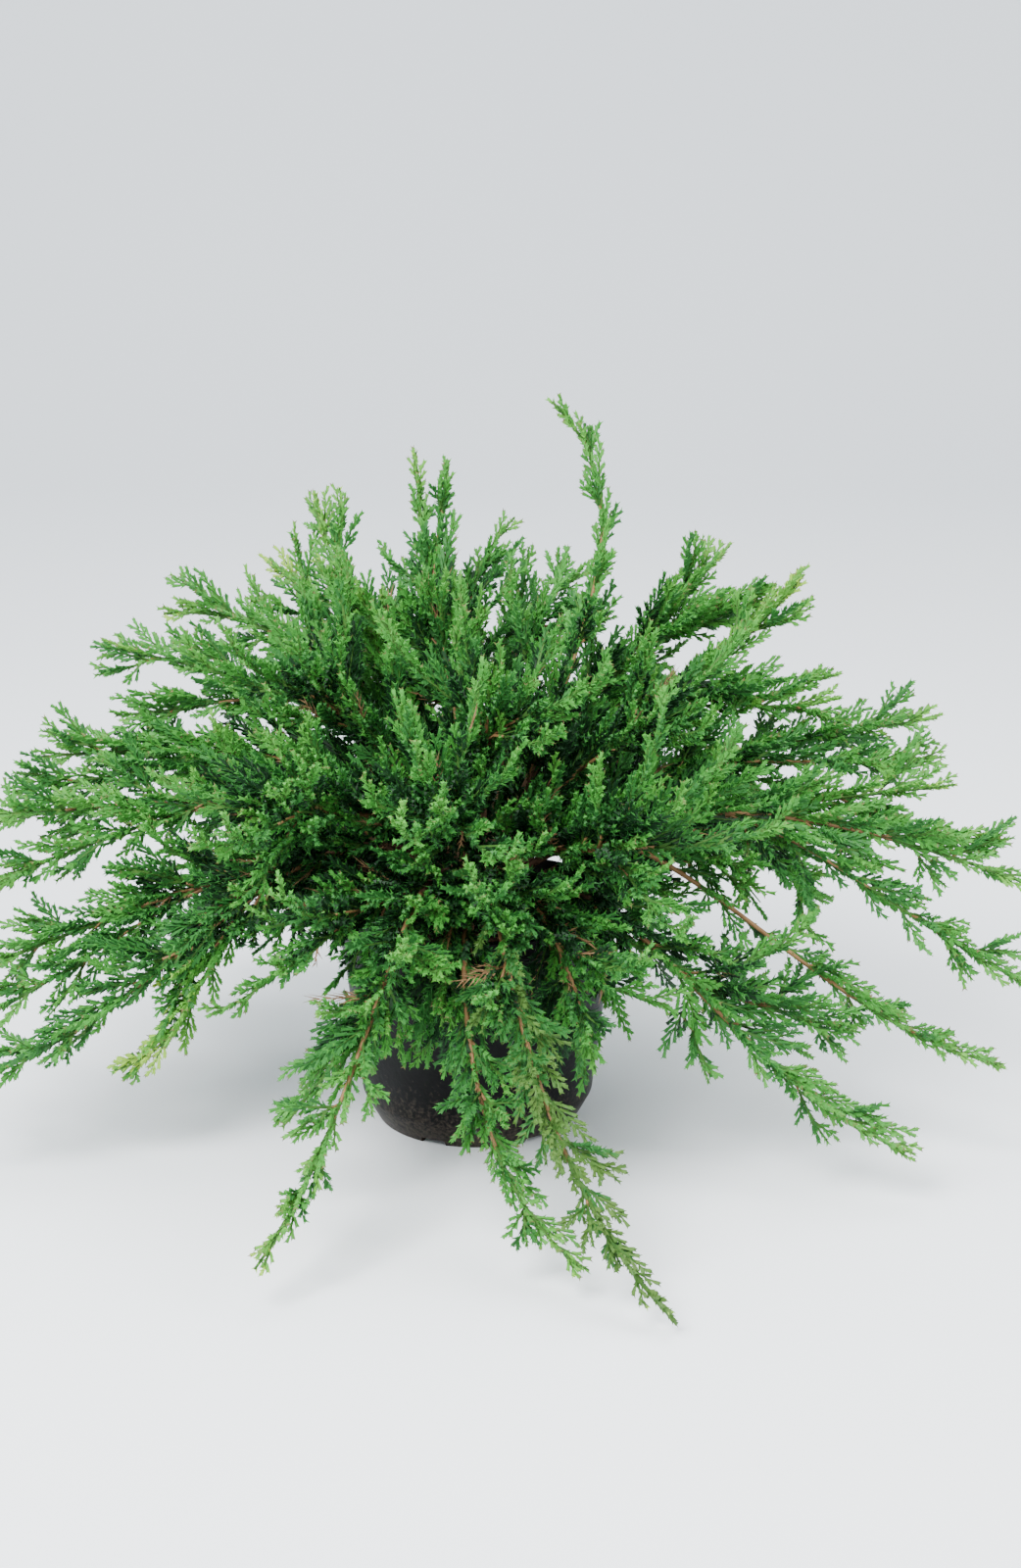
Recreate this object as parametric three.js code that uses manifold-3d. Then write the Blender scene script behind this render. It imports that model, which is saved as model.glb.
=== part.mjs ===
// A creeping juniper in a round nursery pot, built as named solids.
// Millimetres, +Z up. The origin is the middle of the pot's flat underside, and -Y is the front.
//
// The plant is a short trunk with long boughs that arch out over the pot and hang towards the floor.
// Each bough ends where its mass of foliage starts. A mass is one leader, sometimes with a second
// one, and its flat toothed sprays and plain pointed ones. Every mass keeps to the space that is
// nearer to its own leaders than to any other.
import * as THREE from 'three';
import { mergeVertices } from 'three/addons/utils/BufferGeometryUtils.js';
import Module from 'manifold-3d';

const wasm = await Module();
wasm.setup();

// Driving sizes
const FIT_GAP = 0.3; // between pieces that touch on the real plant

const pot = {
  height: 150,
  rimRadius: 95,
  collarHeight: 13, // the thicker band under the lip
  collarStep: 2.2, // how far it stands out of the wall
  collarBevel: 1.5,
  shoulderRadius: 76.6, // top of the chamfer round the foot
  shoulderHeight: 18.4,
  footRadius: 67,
  wall: 1.8,
  floor: 2.4,
  sides: 40,
  notches: 6, // drainage, cut across the foot's edge
  notchWidth: 17,
  notchHeight: 4,
  notchDepth: 13,
  firstNotch: -115, // degrees from +X
};

const soil = { belowRim: 18, crown: 3, crownShare: 0.6, slack: 0.4, aboveShoulder: 1, sides: 28 };

const trunk = {
  top: 192,
  footRadius: 23, // across the root flare
  neckRadius: 16,
  topRadius: 13.5,
  flareHeight: 14,
  flareRings: [0, 0.3, 0.65, 1], // shares of the flare's height
  topBevel: 4,
  lean: 0.03, // sideways travel for each millimetre of height
  leanHeading: 35,
  sides: 14,
  lowestBough: 146,
  highestBough: 188,
  flattestLaunch: 20, // degrees above level at the lowest bough
  steepestLaunch: 80, // and at the highest one
};

const bough = { baseRadius: 2.7, tipRadius: 1.9, sides: 5, step: 26, share: 0.25 };

const stem = { baseRadius: 1.9, tipRadius: 0.9, sideRadius: 0.7, bareStep: 30, leafyStep: 13.5 };

// How a leader's curve runs, as shares of the straight distance to its tip
const curve = { pull: 0.38, sidePull: 0.3, backLean: 0.3 };

// A leader's sprays stand on the faces of its three-sided stem: a toothed one at every third
// step, on the two upper faces in turn, and plain ones on the rest
const spray = {
  angle: 42, // degrees from the leader
  wander: 8, // how far that strays
  roll: 14, // and how far the direction round the leader strays
  toothedEvery: 3,
  toothStep: 13,
  mostTeeth: 4, // on each edge
  width: 2.2, // of a toothed spray's core, in the plane of its teeth
  thickness: 1.7,
  slimTip: 0.6, // the core's last ring as a share of its first
  tooth: 9,
  firstTooth: 1.25, // teeth shrink from this share of their length
  lastTooth: 0.8,
  toothAngle: 38,
  plainShare: 0.5, // length of a plain spray as a share of a toothed one
  underShare: 0.3, // the same on the leader's lower face
  tipShare: 0.55, // length of the last sprays as a share of the first ones
  unevenness: 0.3,
  tries: [1, 0.8, 0.62, 0.45], // shares of the full length, for want of room
  testedAt: [0.45, 0.7, 1], // shares of its length at which a try has to be clear
  shortest: 9,
  firstInset: 6, // from the start of the mass to its first spray
  sideFirst: 0.12, // where the sprays of a second leader start
  sideSpread: 0.85,
  tip: 6, // length of the point at a leader's end
};

const space = {
  margin: 2.4, // nearer to its own leader than to any other
  clearance: 1.5, // between the sprays of one leader
  rim: 3.5,
  floor: 4,
  samples: 48,
};

// How far apart the whole numbers lie that random draws start from
const draws = { mass: 7, leader: 3, face: 11, place: 5 };

// Shoots
/** Where a second leader forks off the first, its tip, and the slope and turn it ends with. */
function fork(at, [heading, reach, height], dip, hook) {
  return { at, heading, reach, height, dip, hook };
}

/**
 * One shoot. Its tip is at a heading in degrees from +X towards +Y, `reach` out and `height` up.
 * It leaves the trunk at `launch` above level, `sweep` short of its heading, and ends sloping at
 * `dip` and turned by `hook`. The first share of it, `bare`, has no sprays and is a bough, or
 * without a bough is bare stem from the trunk. `spread` is the length of its longest sprays.
 */
function shoot(name, [heading, reach, height], [launch, dip], options) {
  const plain = { sweep: 0, hook: 0, bare: bough.share, bough: true };
  return { name, heading, reach, height, launch, dip, ...plain, ...options };
}

// From the left round the back to the right, then the front, the middle and the far side
const shoots = [
  shoot('left_high', [165, 311, 223], [50, -8], {
    sweep: 6, hook: 2, spread: 72, side: fork(0.42, [170, 322, 205], -10, 6),
  }),
  shoot('left_out', [176, 350, 190], [36, -10], {
    sweep: 2, hook: 2, spread: 67, side: fork(0.45, [183, 352, 158], -12, 0),
  }),
  shoot('left_mid', [189, 348, 112], [27, -14], {
    sweep: 2, hook: 4, spread: 64, side: fork(0.45, [195, 352, 90], -14, 0),
  }),
  shoot('left_foot', [200, 348, 66], [45, -10], {
    sweep: 10, hook: -14, spread: 64, side: fork(0.4, [204, 250, 68], -8, -6),
  }),
  shoot('rise_left', [155, 286, 291], [62, 4], { spread: 67, side: fork(0.5, [160, 262, 250], -6, 4) }),
  shoot('arch_left', [144, 272, 305], [52, -10], { sweep: 8, hook: 14, spread: 69 }),
  shoot('plume_left', [130, 232, 340], [66, 24], {
    sweep: 2, hook: 10, spread: 72, side: fork(0.42, [126, 190, 391], 70, -10),
  }),
  shoot('spire_mid', [110, 122, 426], [80, 82], {
    sweep: -4, bare: 0.2, bough: false, spread: 56, side: fork(0.62, [100, 113, 421], 70, -20),
  }),
  shoot('twin_top', [81, 158, 374], [76, 40], { hook: -50, bough: false, spread: 54 }),
  shoot('lean_right', [66, 238, 330], [60, 12], { sweep: -4, hook: -44, spread: 69 }),
  shoot('whip', [52, 80, 467], [74, 44], { sweep: 48, hook: 143, bare: 0.24, spread: 51 }),
  shoot('fan_right', [38, 216, 358], [64, 44], {
    sweep: -4, hook: -10, spread: 74, side: fork(0.6, [28, 225, 330], 20, 0),
  }),
  shoot('fan_bright', [22, 236, 348], [52, 50], {
    sweep: -4, hook: -8, spread: 72, side: fork(0.55, [15, 250, 270], 24, 0),
  }),
  shoot('right_high', [18, 330, 245], [40, 4], {
    sweep: 2, spread: 69, side: fork(0.45, [9, 316, 232], 4, 4),
  }),
  shoot('right_wide', [3, 316, 222], [28, 6], { spread: 64, side: fork(0.4, [-2, 343, 188], -14, 0) }),
  shoot('right_low', [-5, 368, 165], [40, -20], {
    sweep: 4, spread: 64, side: fork(0.42, [-10, 368, 108], -24, 6),
  }),
  shoot('right_arch', [-17, 349, 72], [52, -8], { hook: 10, bare: 0.27, spread: 51 }),
  shoot('right_foot', [-31, 316, 37], [34, -14], {
    sweep: 12, hook: 14, spread: 64, side: fork(0.45, [-22, 262, 92], -8, 6),
  }),
  shoot('front_long', [-71, 351, 10], [44, -28], { sweep: 14, hook: 34, bare: 0.27, spread: 56 }),
  shoot('front_green', [-77, 297, 20], [34, -14], { sweep: 17, hook: 40, spread: 51 }),
  shoot('front_left', [-112, 328, 28], [42, -30], {
    hook: -14, spread: 54, side: fork(0.45, [-123, 213, 62], -20, 0),
  }),
  shoot('front_drop', [-66, 181, 92], [36, -66], { sweep: -2, bare: 0.3, bough: false, spread: 51 }),
  shoot('front_fall', [-97, 162, 120], [52, -50], { sweep: 6, bare: 0.35, bough: false, spread: 50 }),
  shoot('face_left', [214, 176, 236], [58, 12], { sweep: -2, bare: 0.3, bough: false, spread: 69 }),
  shoot('face_low', [-124, 168, 178], [30, 8], { sweep: 6, bare: 0.3, bough: false, spread: 64 }),
  shoot('face_mid', [-100, 120, 250], [60, 50], { bare: 0.3, bough: false, spread: 64 }),
  shoot('face_right', [-48, 150, 226], [54, 40], { bare: 0.3, bough: false, spread: 64 }),
  shoot('face_top', [-82, 66, 322], [76, 70], { bare: 0.3, bough: false, spread: 60 }),
  shoot('crown_left', [166, 110, 300], [76, 70], { sweep: -4, bough: false, spread: 64 }),
  shoot('crown_right', [2, 126, 296], [66, 60], { sweep: 8, bough: false, spread: 64 }),
  shoot('rear_left', [116, 236, 262], [58, 4], { bare: 0.3, bough: false, spread: 66 }),
  shoot('rear_right', [52, 268, 232], [50, 0], { sweep: -4, bare: 0.3, bough: false, spread: 66 }),
  shoot('back_right', [50, 320, 150], [38, -20], {
    spread: 69, side: fork(0.45, [34, 300, 110], -20, -10),
  }),
  shoot('back_mid', [84, 340, 110], [40, -24], { spread: 69, side: fork(0.45, [68, 320, 70], -24, -6) }),
  shoot('back_left', [118, 320, 140], [44, -20], {
    spread: 69, side: fork(0.45, [134, 310, 90], -22, 10),
  }),
];

// Materials
const paint = (color, roughness) => new THREE.MeshStandardMaterial({ color, roughness, metalness: 0 });
const materials = {
  pot: paint('#232323', 0.45),
  soil: paint('#33261c', 0.95),
  bark: paint('#7a5238', 0.85),
  foliage: paint('#3f8f3a', 0.6),
};

// Small tools
const radians = THREE.MathUtils.degToRad;
const lerp = THREE.MathUtils.lerp;
const UP = new THREE.Vector3(0, 0, 1);

/** A direction from a heading in the ground plane and a lift above it, in degrees. */
function direction(heading, lift = 0) {
  const level = Math.cos(radians(lift));
  return new THREE.Vector3(
    Math.cos(radians(heading)) * level,
    Math.sin(radians(heading)) * level,
    Math.sin(radians(lift)),
  );
}

/** A repeatable number from 0 to 1 for a pair of whole numbers. */
function chance(a, b) {
  const wave = Math.sin(a * 127.1 + b * 311.7 + 17.3) * 43758.5453;
  return wave - Math.floor(wave);
}

/** A closed mesh from points and triangles. */
function meshOf(points, triangles) {
  const geometry = new THREE.BufferGeometry().setFromPoints(points);
  geometry.setIndex(triangles.flat());
  return geometry;
}

/** A geometry with only its positions, shared points merged. */
function merged(geometry) {
  geometry.deleteAttribute('normal');
  geometry.deleteAttribute('uv');
  return mergeVertices(geometry, 1e-4);
}

/** A closed geometry as a solid that can be joined and cut. */
function solidOf(geometry) {
  return new wasm.Manifold(new wasm.Mesh({
    numProp: 3,
    vertProperties: new Float32Array(geometry.attributes.position.array),
    triVerts: new Uint32Array(geometry.index.array),
  }));
}

/** A solid as a geometry again. */
function geometryOf(solid) {
  const { vertProperties, triVerts } = solid.getMesh();
  const geometry = new THREE.BufferGeometry();
  geometry.setAttribute('position', new THREE.BufferAttribute(vertProperties, 3));
  geometry.setIndex(new THREE.BufferAttribute(triVerts, 1));
  geometry.computeVertexNormals();
  return geometry;
}

/** A solid of revolution about Z from [radius, height] pairs, listed upwards on the outside. */
function turned(profile, sides) {
  const points = profile.map(([radius, height]) => new THREE.Vector2(radius, height));
  return merged(new THREE.LatheGeometry(points, sides).rotateX(Math.PI / 2));
}

// Pot
/** The pot's wall radius on the outside at a height above the shoulder. */
function wallRadius(height) {
  const share = (height - pot.shoulderHeight) / (pot.height - pot.shoulderHeight);
  return lerp(pot.shoulderRadius, pot.rimRadius - pot.collarStep, share);
}

/** A thin-walled pot with a collar, a chamfered foot and drainage notches round its edge. */
function makePot() {
  const collar = pot.height - pot.collarHeight;
  const inner = (height) => wallRadius(height) - pot.wall;
  const shell = solidOf(turned([
    [0, 0],
    [pot.footRadius, 0],
    [pot.shoulderRadius, pot.shoulderHeight],
    [wallRadius(collar), collar],
    [pot.rimRadius, collar + pot.collarBevel],
    [pot.rimRadius, pot.height],
    [inner(pot.height), pot.height],
    [inner(pot.shoulderHeight), pot.shoulderHeight],
    [pot.footRadius - pot.wall, pot.floor],
    [0, pot.floor],
  ], pot.sides));
  let cut = shell;
  for (let i = 0; i < pot.notches; i += 1) {
    const block = merged(new THREE.BoxGeometry(pot.notchDepth * 2, pot.notchWidth, pot.notchHeight * 2))
      .translate(pot.footRadius, 0, 0)
      .rotateZ(radians(pot.firstNotch + (360 * i) / pot.notches));
    cut = cut.subtract(solidOf(block));
  }
  return geometryOf(cut);
}

// Soil
const soilTop = pot.height - soil.belowRim;

/** The root ball that fills the pot, clear of its wall and of the drainage notches. */
function makeSoil() {
  const inset = pot.wall + FIT_GAP + soil.slack;
  const foot = pot.notchHeight + FIT_GAP;
  const topSide = wallRadius(soilTop) - inset;
  return turned([
    [0, foot],
    [pot.footRadius - inset, foot],
    [pot.shoulderRadius - inset, pot.shoulderHeight + soil.aboveShoulder],
    [topSide, soilTop - soil.crown],
    [topSide * soil.crownShare, soilTop],
    [0, soilTop],
  ], soil.sides);
}

// Trunk
/** The middle of the trunk at a height. */
function trunkAxis(height) {
  return direction(trunk.leanHeading).multiplyScalar((height - soilTop) * trunk.lean).setZ(height);
}

/** The trunk's radius at a height: a root flare that dies out, then an even taper. */
function trunkRadius(height) {
  const flareTop = soilTop + trunk.flareHeight;
  if (height < flareTop) {
    const share = (flareTop - height) / trunk.flareHeight;
    return trunk.neckRadius + (trunk.footRadius - trunk.neckRadius) * share * share;
  }
  return lerp(trunk.neckRadius, trunk.topRadius, (height - flareTop) / (trunk.top - flareTop));
}

/** A short leaning trunk, cut flat at the soil. */
function makeTrunk() {
  const foot = soilTop + FIT_GAP;
  const flare = trunk.flareRings.map((share) => foot + (trunk.flareHeight - FIT_GAP) * share);
  const side = [...flare, trunk.top - trunk.topBevel].map((height) => [trunkRadius(height), height]);
  const top = [[trunk.topRadius - trunk.topBevel, trunk.top], [0, trunk.top]];
  const geometry = turned([[0, foot], ...side, ...top], trunk.sides);
  const position = geometry.attributes.position;
  for (let i = 0; i < position.count; i += 1) {
    const axis = trunkAxis(position.getZ(i));
    position.setXY(i, position.getX(i) + axis.x, position.getY(i) + axis.y);
  }
  return geometry;
}

// Limbs
/** A tapering limb along a curved line, between the shares `from` and `to` of its length. */
class Limb {
  constructor(line, heading, { from = 0, to = 1, baseRadius, tipRadius }) {
    Object.assign(this, { line, from, to, baseRadius, tipRadius });
    this.length = line.getLength();
    this.upper = UP.clone().addScaledVector(direction(heading), -curve.backLean);
  }

  /** The middle, the axes and the radius at a share of the curve. `up` is the limb's upper side. */
  ringAt(share) {
    const along = this.line.getTangentAt(share);
    const up = this.upper.clone().addScaledVector(along, -along.dot(this.upper)).normalize();
    return {
      centre: this.line.getPointAt(share),
      along,
      up,
      side: new THREE.Vector3().crossVectors(along, up),
      radius: lerp(this.baseRadius, this.tipRadius, (share - this.from) / (this.to - this.from)),
    };
  }

  /** The closed surface in even steps. */
  geometry(sides, step) {
    const steps = Math.max(2, Math.round((this.length * (this.to - this.from)) / step));
    const geometry = merged(new THREE.CylinderGeometry(1, 1, steps, sides, steps));
    const shares = Array.from({ length: steps + 1 }, (_, i) => lerp(this.from, this.to, i / steps));
    const rings = shares.map((share) => this.ringAt(share));
    const position = geometry.attributes.position;
    for (let i = 0; i < position.count; i += 1) {
      const { centre, up, side, radius } = rings[Math.round(position.getY(i) + steps / 2)];
      const point = centre.clone()
        .addScaledVector(side, position.getX(i) * radius)
        .addScaledVector(up, position.getZ(i) * radius);
      position.setXYZ(i, ...point.toArray());
    }
    return geometry;
  }
}

/** Where a shoot leaves the trunk: steep ones high up, and clear of the bark. */
function startOf({ heading, sweep, launch, bough: hasBough }) {
  const share = (launch - trunk.flattestLaunch) / (trunk.steepestLaunch - trunk.flattestLaunch);
  const height = lerp(trunk.lowestBough, trunk.highestBough, share);
  const radius = hasBough ? bough.baseRadius : stem.baseRadius;
  const out = trunkRadius(height) + FIT_GAP + radius * Math.sin(radians(launch));
  return trunkAxis(height).addScaledVector(direction(heading - sweep), out);
}

/** The tip of a leader. */
function tipOf({ heading, reach, height }) {
  return direction(heading).multiplyScalar(reach).setZ(height);
}

/** A smooth line from a start to the tip of a leader, which sets off along `leaving`. */
function lineTo(one, start, leaving, pull) {
  const tip = tipOf(one);
  const distance = start.distanceTo(tip);
  const arriving = direction(one.heading + one.hook, one.dip);
  return new THREE.CubicBezierCurve3(
    start,
    start.clone().addScaledVector(leaving, pull * distance),
    tip.clone().addScaledVector(arriving, -curve.pull * distance),
    tip,
  );
}

/** The line of a shoot's leader from the trunk to its tip. */
function leaderOf(one) {
  return lineTo(one, startOf(one), direction(one.heading - one.sweep, one.launch), curve.pull);
}

/** The line of a second leader, which starts inside the first one and soon parts from it. */
function sideLeaderOf(first, side) {
  const start = first.getPointAt(side.at);
  const straight = tipOf(side).sub(start).normalize();
  return lineTo(side, start, straight.add(first.getTangentAt(side.at)).normalize(), curve.sidePull);
}

/** A shoot with its bough and the stems of its mass. */
function grow(one) {
  const leader = leaderOf(one);
  const from = one.bough ? one.bare + FIT_GAP / leader.getLength() : 0;
  const stems = [new Limb(leader, one.heading, { ...stem, from })];
  if (one.side) {
    const slim = { ...stem, baseRadius: stem.sideRadius };
    stems.push(new Limb(sideLeaderOf(leader, one.side), one.heading, slim));
  }
  return {
    ...one,
    stems,
    limb: one.bough ? new Limb(leader, one.heading, { ...bough, to: one.bare }) : null,
    lines: stems.map((limb) => limb.line.getSpacedPoints(space.samples)),
  };
}

const plants = shoots.map(grow);
const allLines = plants.flatMap((plant) => plant.lines);

/** The distance from a point to the nearest of some lines. */
function distanceTo(point, lines) {
  const segment = new THREE.Line3();
  const nearest = new THREE.Vector3();
  let best = Infinity;
  for (const line of lines) {
    for (let i = 1; i < line.length; i += 1) {
      segment.set(line[i - 1], line[i]).closestPointToPoint(point, true, nearest);
      best = Math.min(best, nearest.distanceTo(point));
    }
  }
  return best;
}

/** Whether a point is nearer to one leader than to any other, and clear of the pot and the floor. */
function isInSpace(point, line) {
  if (point.z < space.floor) return false;
  const overPot = Math.hypot(point.x, point.y) < pot.rimRadius + space.rim;
  if (overPot && point.z < pot.height + space.rim) return false;
  const own = distanceTo(point, [line]);
  return distanceTo(point, allLines.filter((other) => other !== line)) > own + space.margin;
}

// Foliage
/** The closed surface of one leader with its sprays, drawn outwards from ring to ring. */
class Plume {
  constructor(limb, line, leafyFrom, spread, seed) {
    Object.assign(this, { limb, line, leafyFrom, spread, seed });
    this.points = [];
    this.triangles = [];
    this.twigs = []; // the middle lines of the sprays so far
  }

  /** Adds a point and gives its number. */
  add(point) {
    return this.points.push(point) - 1;
  }

  /** The four-cornered faces between two loops of points that run the same way round. */
  band(from, to) {
    return from.map((a, k) => {
      const next = (k + 1) % from.length;
      return [a, from[next], to[next], to[k]];
    });
  }

  /** Closes a face or a loop with a fan to one point. */
  fan(loop, point) {
    const peak = this.add(point);
    loop.forEach((a, k) => this.triangles.push([a, loop[(k + 1) % loop.length], peak]));
  }

  /** Leaves a four-cornered face as it is. */
  flat([a, b, c, d]) {
    this.triangles.push([a, b, c], [a, c, d]);
  }

  /** The middle of a face. */
  middle(face) {
    return face.reduce((sum, i) => sum.add(this.points[i]), new THREE.Vector3()).divideScalar(face.length);
  }

  /** Whether a spray between two points is in its space and clear of the other sprays. */
  fits(from, to) {
    const places = spray.testedAt.map((share) => from.clone().lerp(to, share));
    return places.every((place) => (
      isInSpace(place, this.line) && distanceTo(place, this.twigs) > space.clearance
    ));
  }

  /** The longest try that fits, or 0. */
  roomFor(from, heading, length) {
    const reachOf = (share) => from.clone().addScaledVector(heading, length * share);
    return length * (spray.tries.find((share) => this.fits(from, reachOf(share))) ?? 0);
  }

  /** A plain spray: the face drawn out to a point. */
  plainSpray(face, heading, length) {
    const from = this.middle(face);
    const room = this.roomFor(from, heading, length);
    if (room < spray.shortest) return false;
    const tip = from.clone().addScaledVector(heading, room);
    this.fan(face, tip);
    this.twigs.push([from, tip]);
    return true;
  }

  /** A toothed spray: a flat core drawn out of the face, with teeth along both of its edges. */
  toothedSpray(face, heading, along, length) {
    const from = this.middle(face);
    const room = this.roomFor(from, heading, length);
    const steps = Math.min(spray.mostTeeth, Math.round(room / spray.toothStep));
    if (steps < 2) return false;
    const step = room / (steps + 0.5);
    const forward = along.clone().addScaledVector(heading, -along.dot(heading)).normalize();
    const sideways = new THREE.Vector3().crossVectors(heading, forward).normalize();
    const rearEdge = this.points[face[1]].clone().sub(this.points[face[0]]);
    const handed = Math.sign(rearEdge.dot(sideways));
    // Each ring starts at the rear edge, so its faces are the rear one, a side, the front one, a side
    const ringAt = (i) => [[-1, -1], [-1, 1], [1, 1], [1, -1]].map(([ahead, side]) => {
      const slim = lerp(1, spray.slimTip, i / steps) / 2;
      return this.add(from.clone()
        .addScaledVector(heading, i * step)
        .addScaledVector(forward, ahead * spray.width * slim)
        .addScaledVector(sideways, side * handed * spray.thickness * slim));
    });
    const tip = from.clone().addScaledVector(heading, room);
    this.twigs.push([from, tip]);
    let ring = face;
    for (let i = 1; i <= steps; i += 1) {
      const next = ringAt(i);
      const [rear, oneSide, front, otherSide] = this.band(ring, next);
      const toothLength = spray.tooth * lerp(spray.firstTooth, spray.lastTooth, i / steps);
      this.tooth(rear, this.leaning(heading, forward, -1), toothLength);
      this.flat(oneSide);
      this.tooth(front, this.leaning(heading, forward, 1), i > 1 ? toothLength : 0);
      this.flat(otherSide);
      ring = next;
    }
    this.fan(ring, tip);
    return true;
  }

  /** The direction of a tooth to the front or the rear of a spray. */
  leaning(heading, forward, ahead) {
    return heading.clone().multiplyScalar(Math.cos(radians(spray.toothAngle)))
      .addScaledVector(forward, ahead * Math.sin(radians(spray.toothAngle)));
  }

  /** One tooth on a face of a spray's core, or none where it has no length or no room. */
  tooth(face, heading, length) {
    const tip = this.middle(face).addScaledVector(heading, length);
    const isClear = isInSpace(tip, this.line) && distanceTo(tip, this.twigs) > space.clearance;
    if (length > 0 && isClear) this.fan(face, tip);
    else this.flat(face);
  }

  /** What one face of the stem carries at a step: a toothed spray, a plain one or nothing. */
  dress(face, k, { along, up, side }, place, length) {
    const draw = (n) => chance(this.seed + k * draws.face, place * draws.place + n) - 0.5;
    const round = radians(60 + 120 * k + 2 * spray.roll * draw(0));
    const angle = radians(spray.angle + 2 * spray.wander * draw(1));
    const heading = along.clone().multiplyScalar(Math.cos(angle))
      .addScaledVector(up, Math.cos(round) * Math.sin(angle))
      .addScaledVector(side, Math.sin(round) * Math.sin(angle));
    const full = length * (1 + spray.unevenness * draw(2));
    const turn = place / spray.toothedEvery;
    const isToothed = Number.isInteger(turn) && k === (turn % 2) * 2;
    const dressed = (isToothed && this.toothedSpray(face, heading, along, full))
      || this.plainSpray(face, heading, full * (k === 1 ? spray.underShare : spray.plainShare));
    if (!dressed) this.flat(face);
  }

  /** The rings of the stem: long steps while it is bare, then short ones. */
  rings() {
    const { from, to, length } = this.limb;
    const bareSteps = Math.max(1, Math.round(((this.leafyFrom - from) * length) / stem.bareStep));
    const leafySteps = Math.max(3, Math.round(((to - this.leafyFrom) * length) / stem.leafyStep));
    const rings = Array.from({ length: bareSteps + leafySteps + 1 }, (_, i) => this.limb.ringAt(i < bareSteps
      ? lerp(from, this.leafyFrom, i / bareSteps)
      : lerp(this.leafyFrom, to, (i - bareSteps) / leafySteps)));
    return { bareSteps, leafySteps, rings };
  }

  /** The whole surface. */
  geometry() {
    const { bareSteps, leafySteps, rings } = this.rings();
    const loops = rings.map(({ centre, up, side, radius }) => [0, 120, 240].map((angle) => (
      this.add(centre.clone()
        .addScaledVector(up, Math.cos(radians(angle)) * radius)
        .addScaledVector(side, Math.sin(radians(angle)) * radius))
    )));
    const [first, last] = [loops[0], loops[loops.length - 1]];
    this.triangles.push([first[0], first[2], first[1]]);
    for (let i = 0; i < bareSteps + leafySteps; i += 1) {
      const place = i - bareSteps;
      const length = this.spread * lerp(1, spray.tipShare, place / leafySteps);
      this.band(loops[i], loops[i + 1]).forEach((face, k) => {
        if (place < 0) this.flat(face);
        else this.dress(face, k, rings[i], place, length);
      });
    }
    const end = rings[rings.length - 1];
    this.fan(last, end.centre.clone().addScaledVector(end.along, spray.tip));
    return meshOf(this.points, this.triangles);
  }
}

/** One mass of foliage: its one or two leaders with their sprays, fused. */
function makeMass(plant, index) {
  const plumes = plant.stems.map((limb, i) => {
    const leafyFrom = i ? spray.sideFirst : plant.bare + spray.firstInset / limb.length;
    const spread = plant.spread * (i ? spray.sideSpread : 1);
    const seed = 1 + index * draws.mass + i * draws.leader;
    return solidOf(new Plume(limb, plant.lines[i], leafyFrom, spread, seed).geometry());
  });
  return geometryOf(plumes.reduce((fused, one) => fused.add(one)));
}

// The whole plant
const juniper = new THREE.Group();

/** Adds one named piece. */
function add(name, geometry, material) {
  const mesh = new THREE.Mesh(geometry, material);
  mesh.name = name;
  juniper.add(mesh);
}

add('pot', makePot(), materials.pot);
add('soil', makeSoil(), materials.soil);
add('trunk', makeTrunk(), materials.bark);
plants.forEach((plant, index) => {
  if (plant.limb) add(`bough_${plant.name}`, plant.limb.geometry(bough.sides, bough.step), materials.bark);
  add(`mass_${plant.name}`, makeMass(plant, index), materials.foliage);
});

export default juniper;
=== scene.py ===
"""A creeping juniper in a black nursery pot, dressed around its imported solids.

The boughs, leaders and sprays follow the rule that the solids were grown by, carried on to finer
twigs and single needles. Sizes are in millimetres unless a name says otherwise.
"""
import logging
import math
from dataclasses import dataclass, field
from enum import Enum

import bpy
import numpy as np
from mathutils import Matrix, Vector


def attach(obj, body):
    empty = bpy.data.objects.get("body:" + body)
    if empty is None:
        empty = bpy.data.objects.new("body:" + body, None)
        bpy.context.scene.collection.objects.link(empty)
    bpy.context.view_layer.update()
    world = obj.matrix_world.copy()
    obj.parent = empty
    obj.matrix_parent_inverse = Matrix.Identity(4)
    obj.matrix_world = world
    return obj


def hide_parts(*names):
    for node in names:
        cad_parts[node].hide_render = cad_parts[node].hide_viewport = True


log = logging.getLogger("juniper")

Array = np.ndarray
Span = tuple[float, float]
Triple = tuple[float, float, float]

MM = 0.001
UP = np.array([0.0, 0.0, 1.0])
GOLDEN_ANGLE = math.pi * (3 - math.sqrt(5))
BODY = "root"
SOIL_TOP = 132.0


# Colour and nodes
def linear(colour: str) -> tuple[float, float, float, float]:
    """Turns an sRGB hex colour to linear RGBA.

    Args:
        colour: Six hex digits after a hash.

    Returns:
        The linear colour, opaque.
    """
    def channel(value: float) -> float:
        """One channel from sRGB to linear."""
        return value / 12.92 if value <= 0.04045 else ((value + 0.055) / 1.055) ** 2.4

    red, green, blue = (int(colour[i:i + 2], 16) / 255 for i in (1, 3, 5))
    return channel(red), channel(green), channel(blue), 1.0


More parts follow.
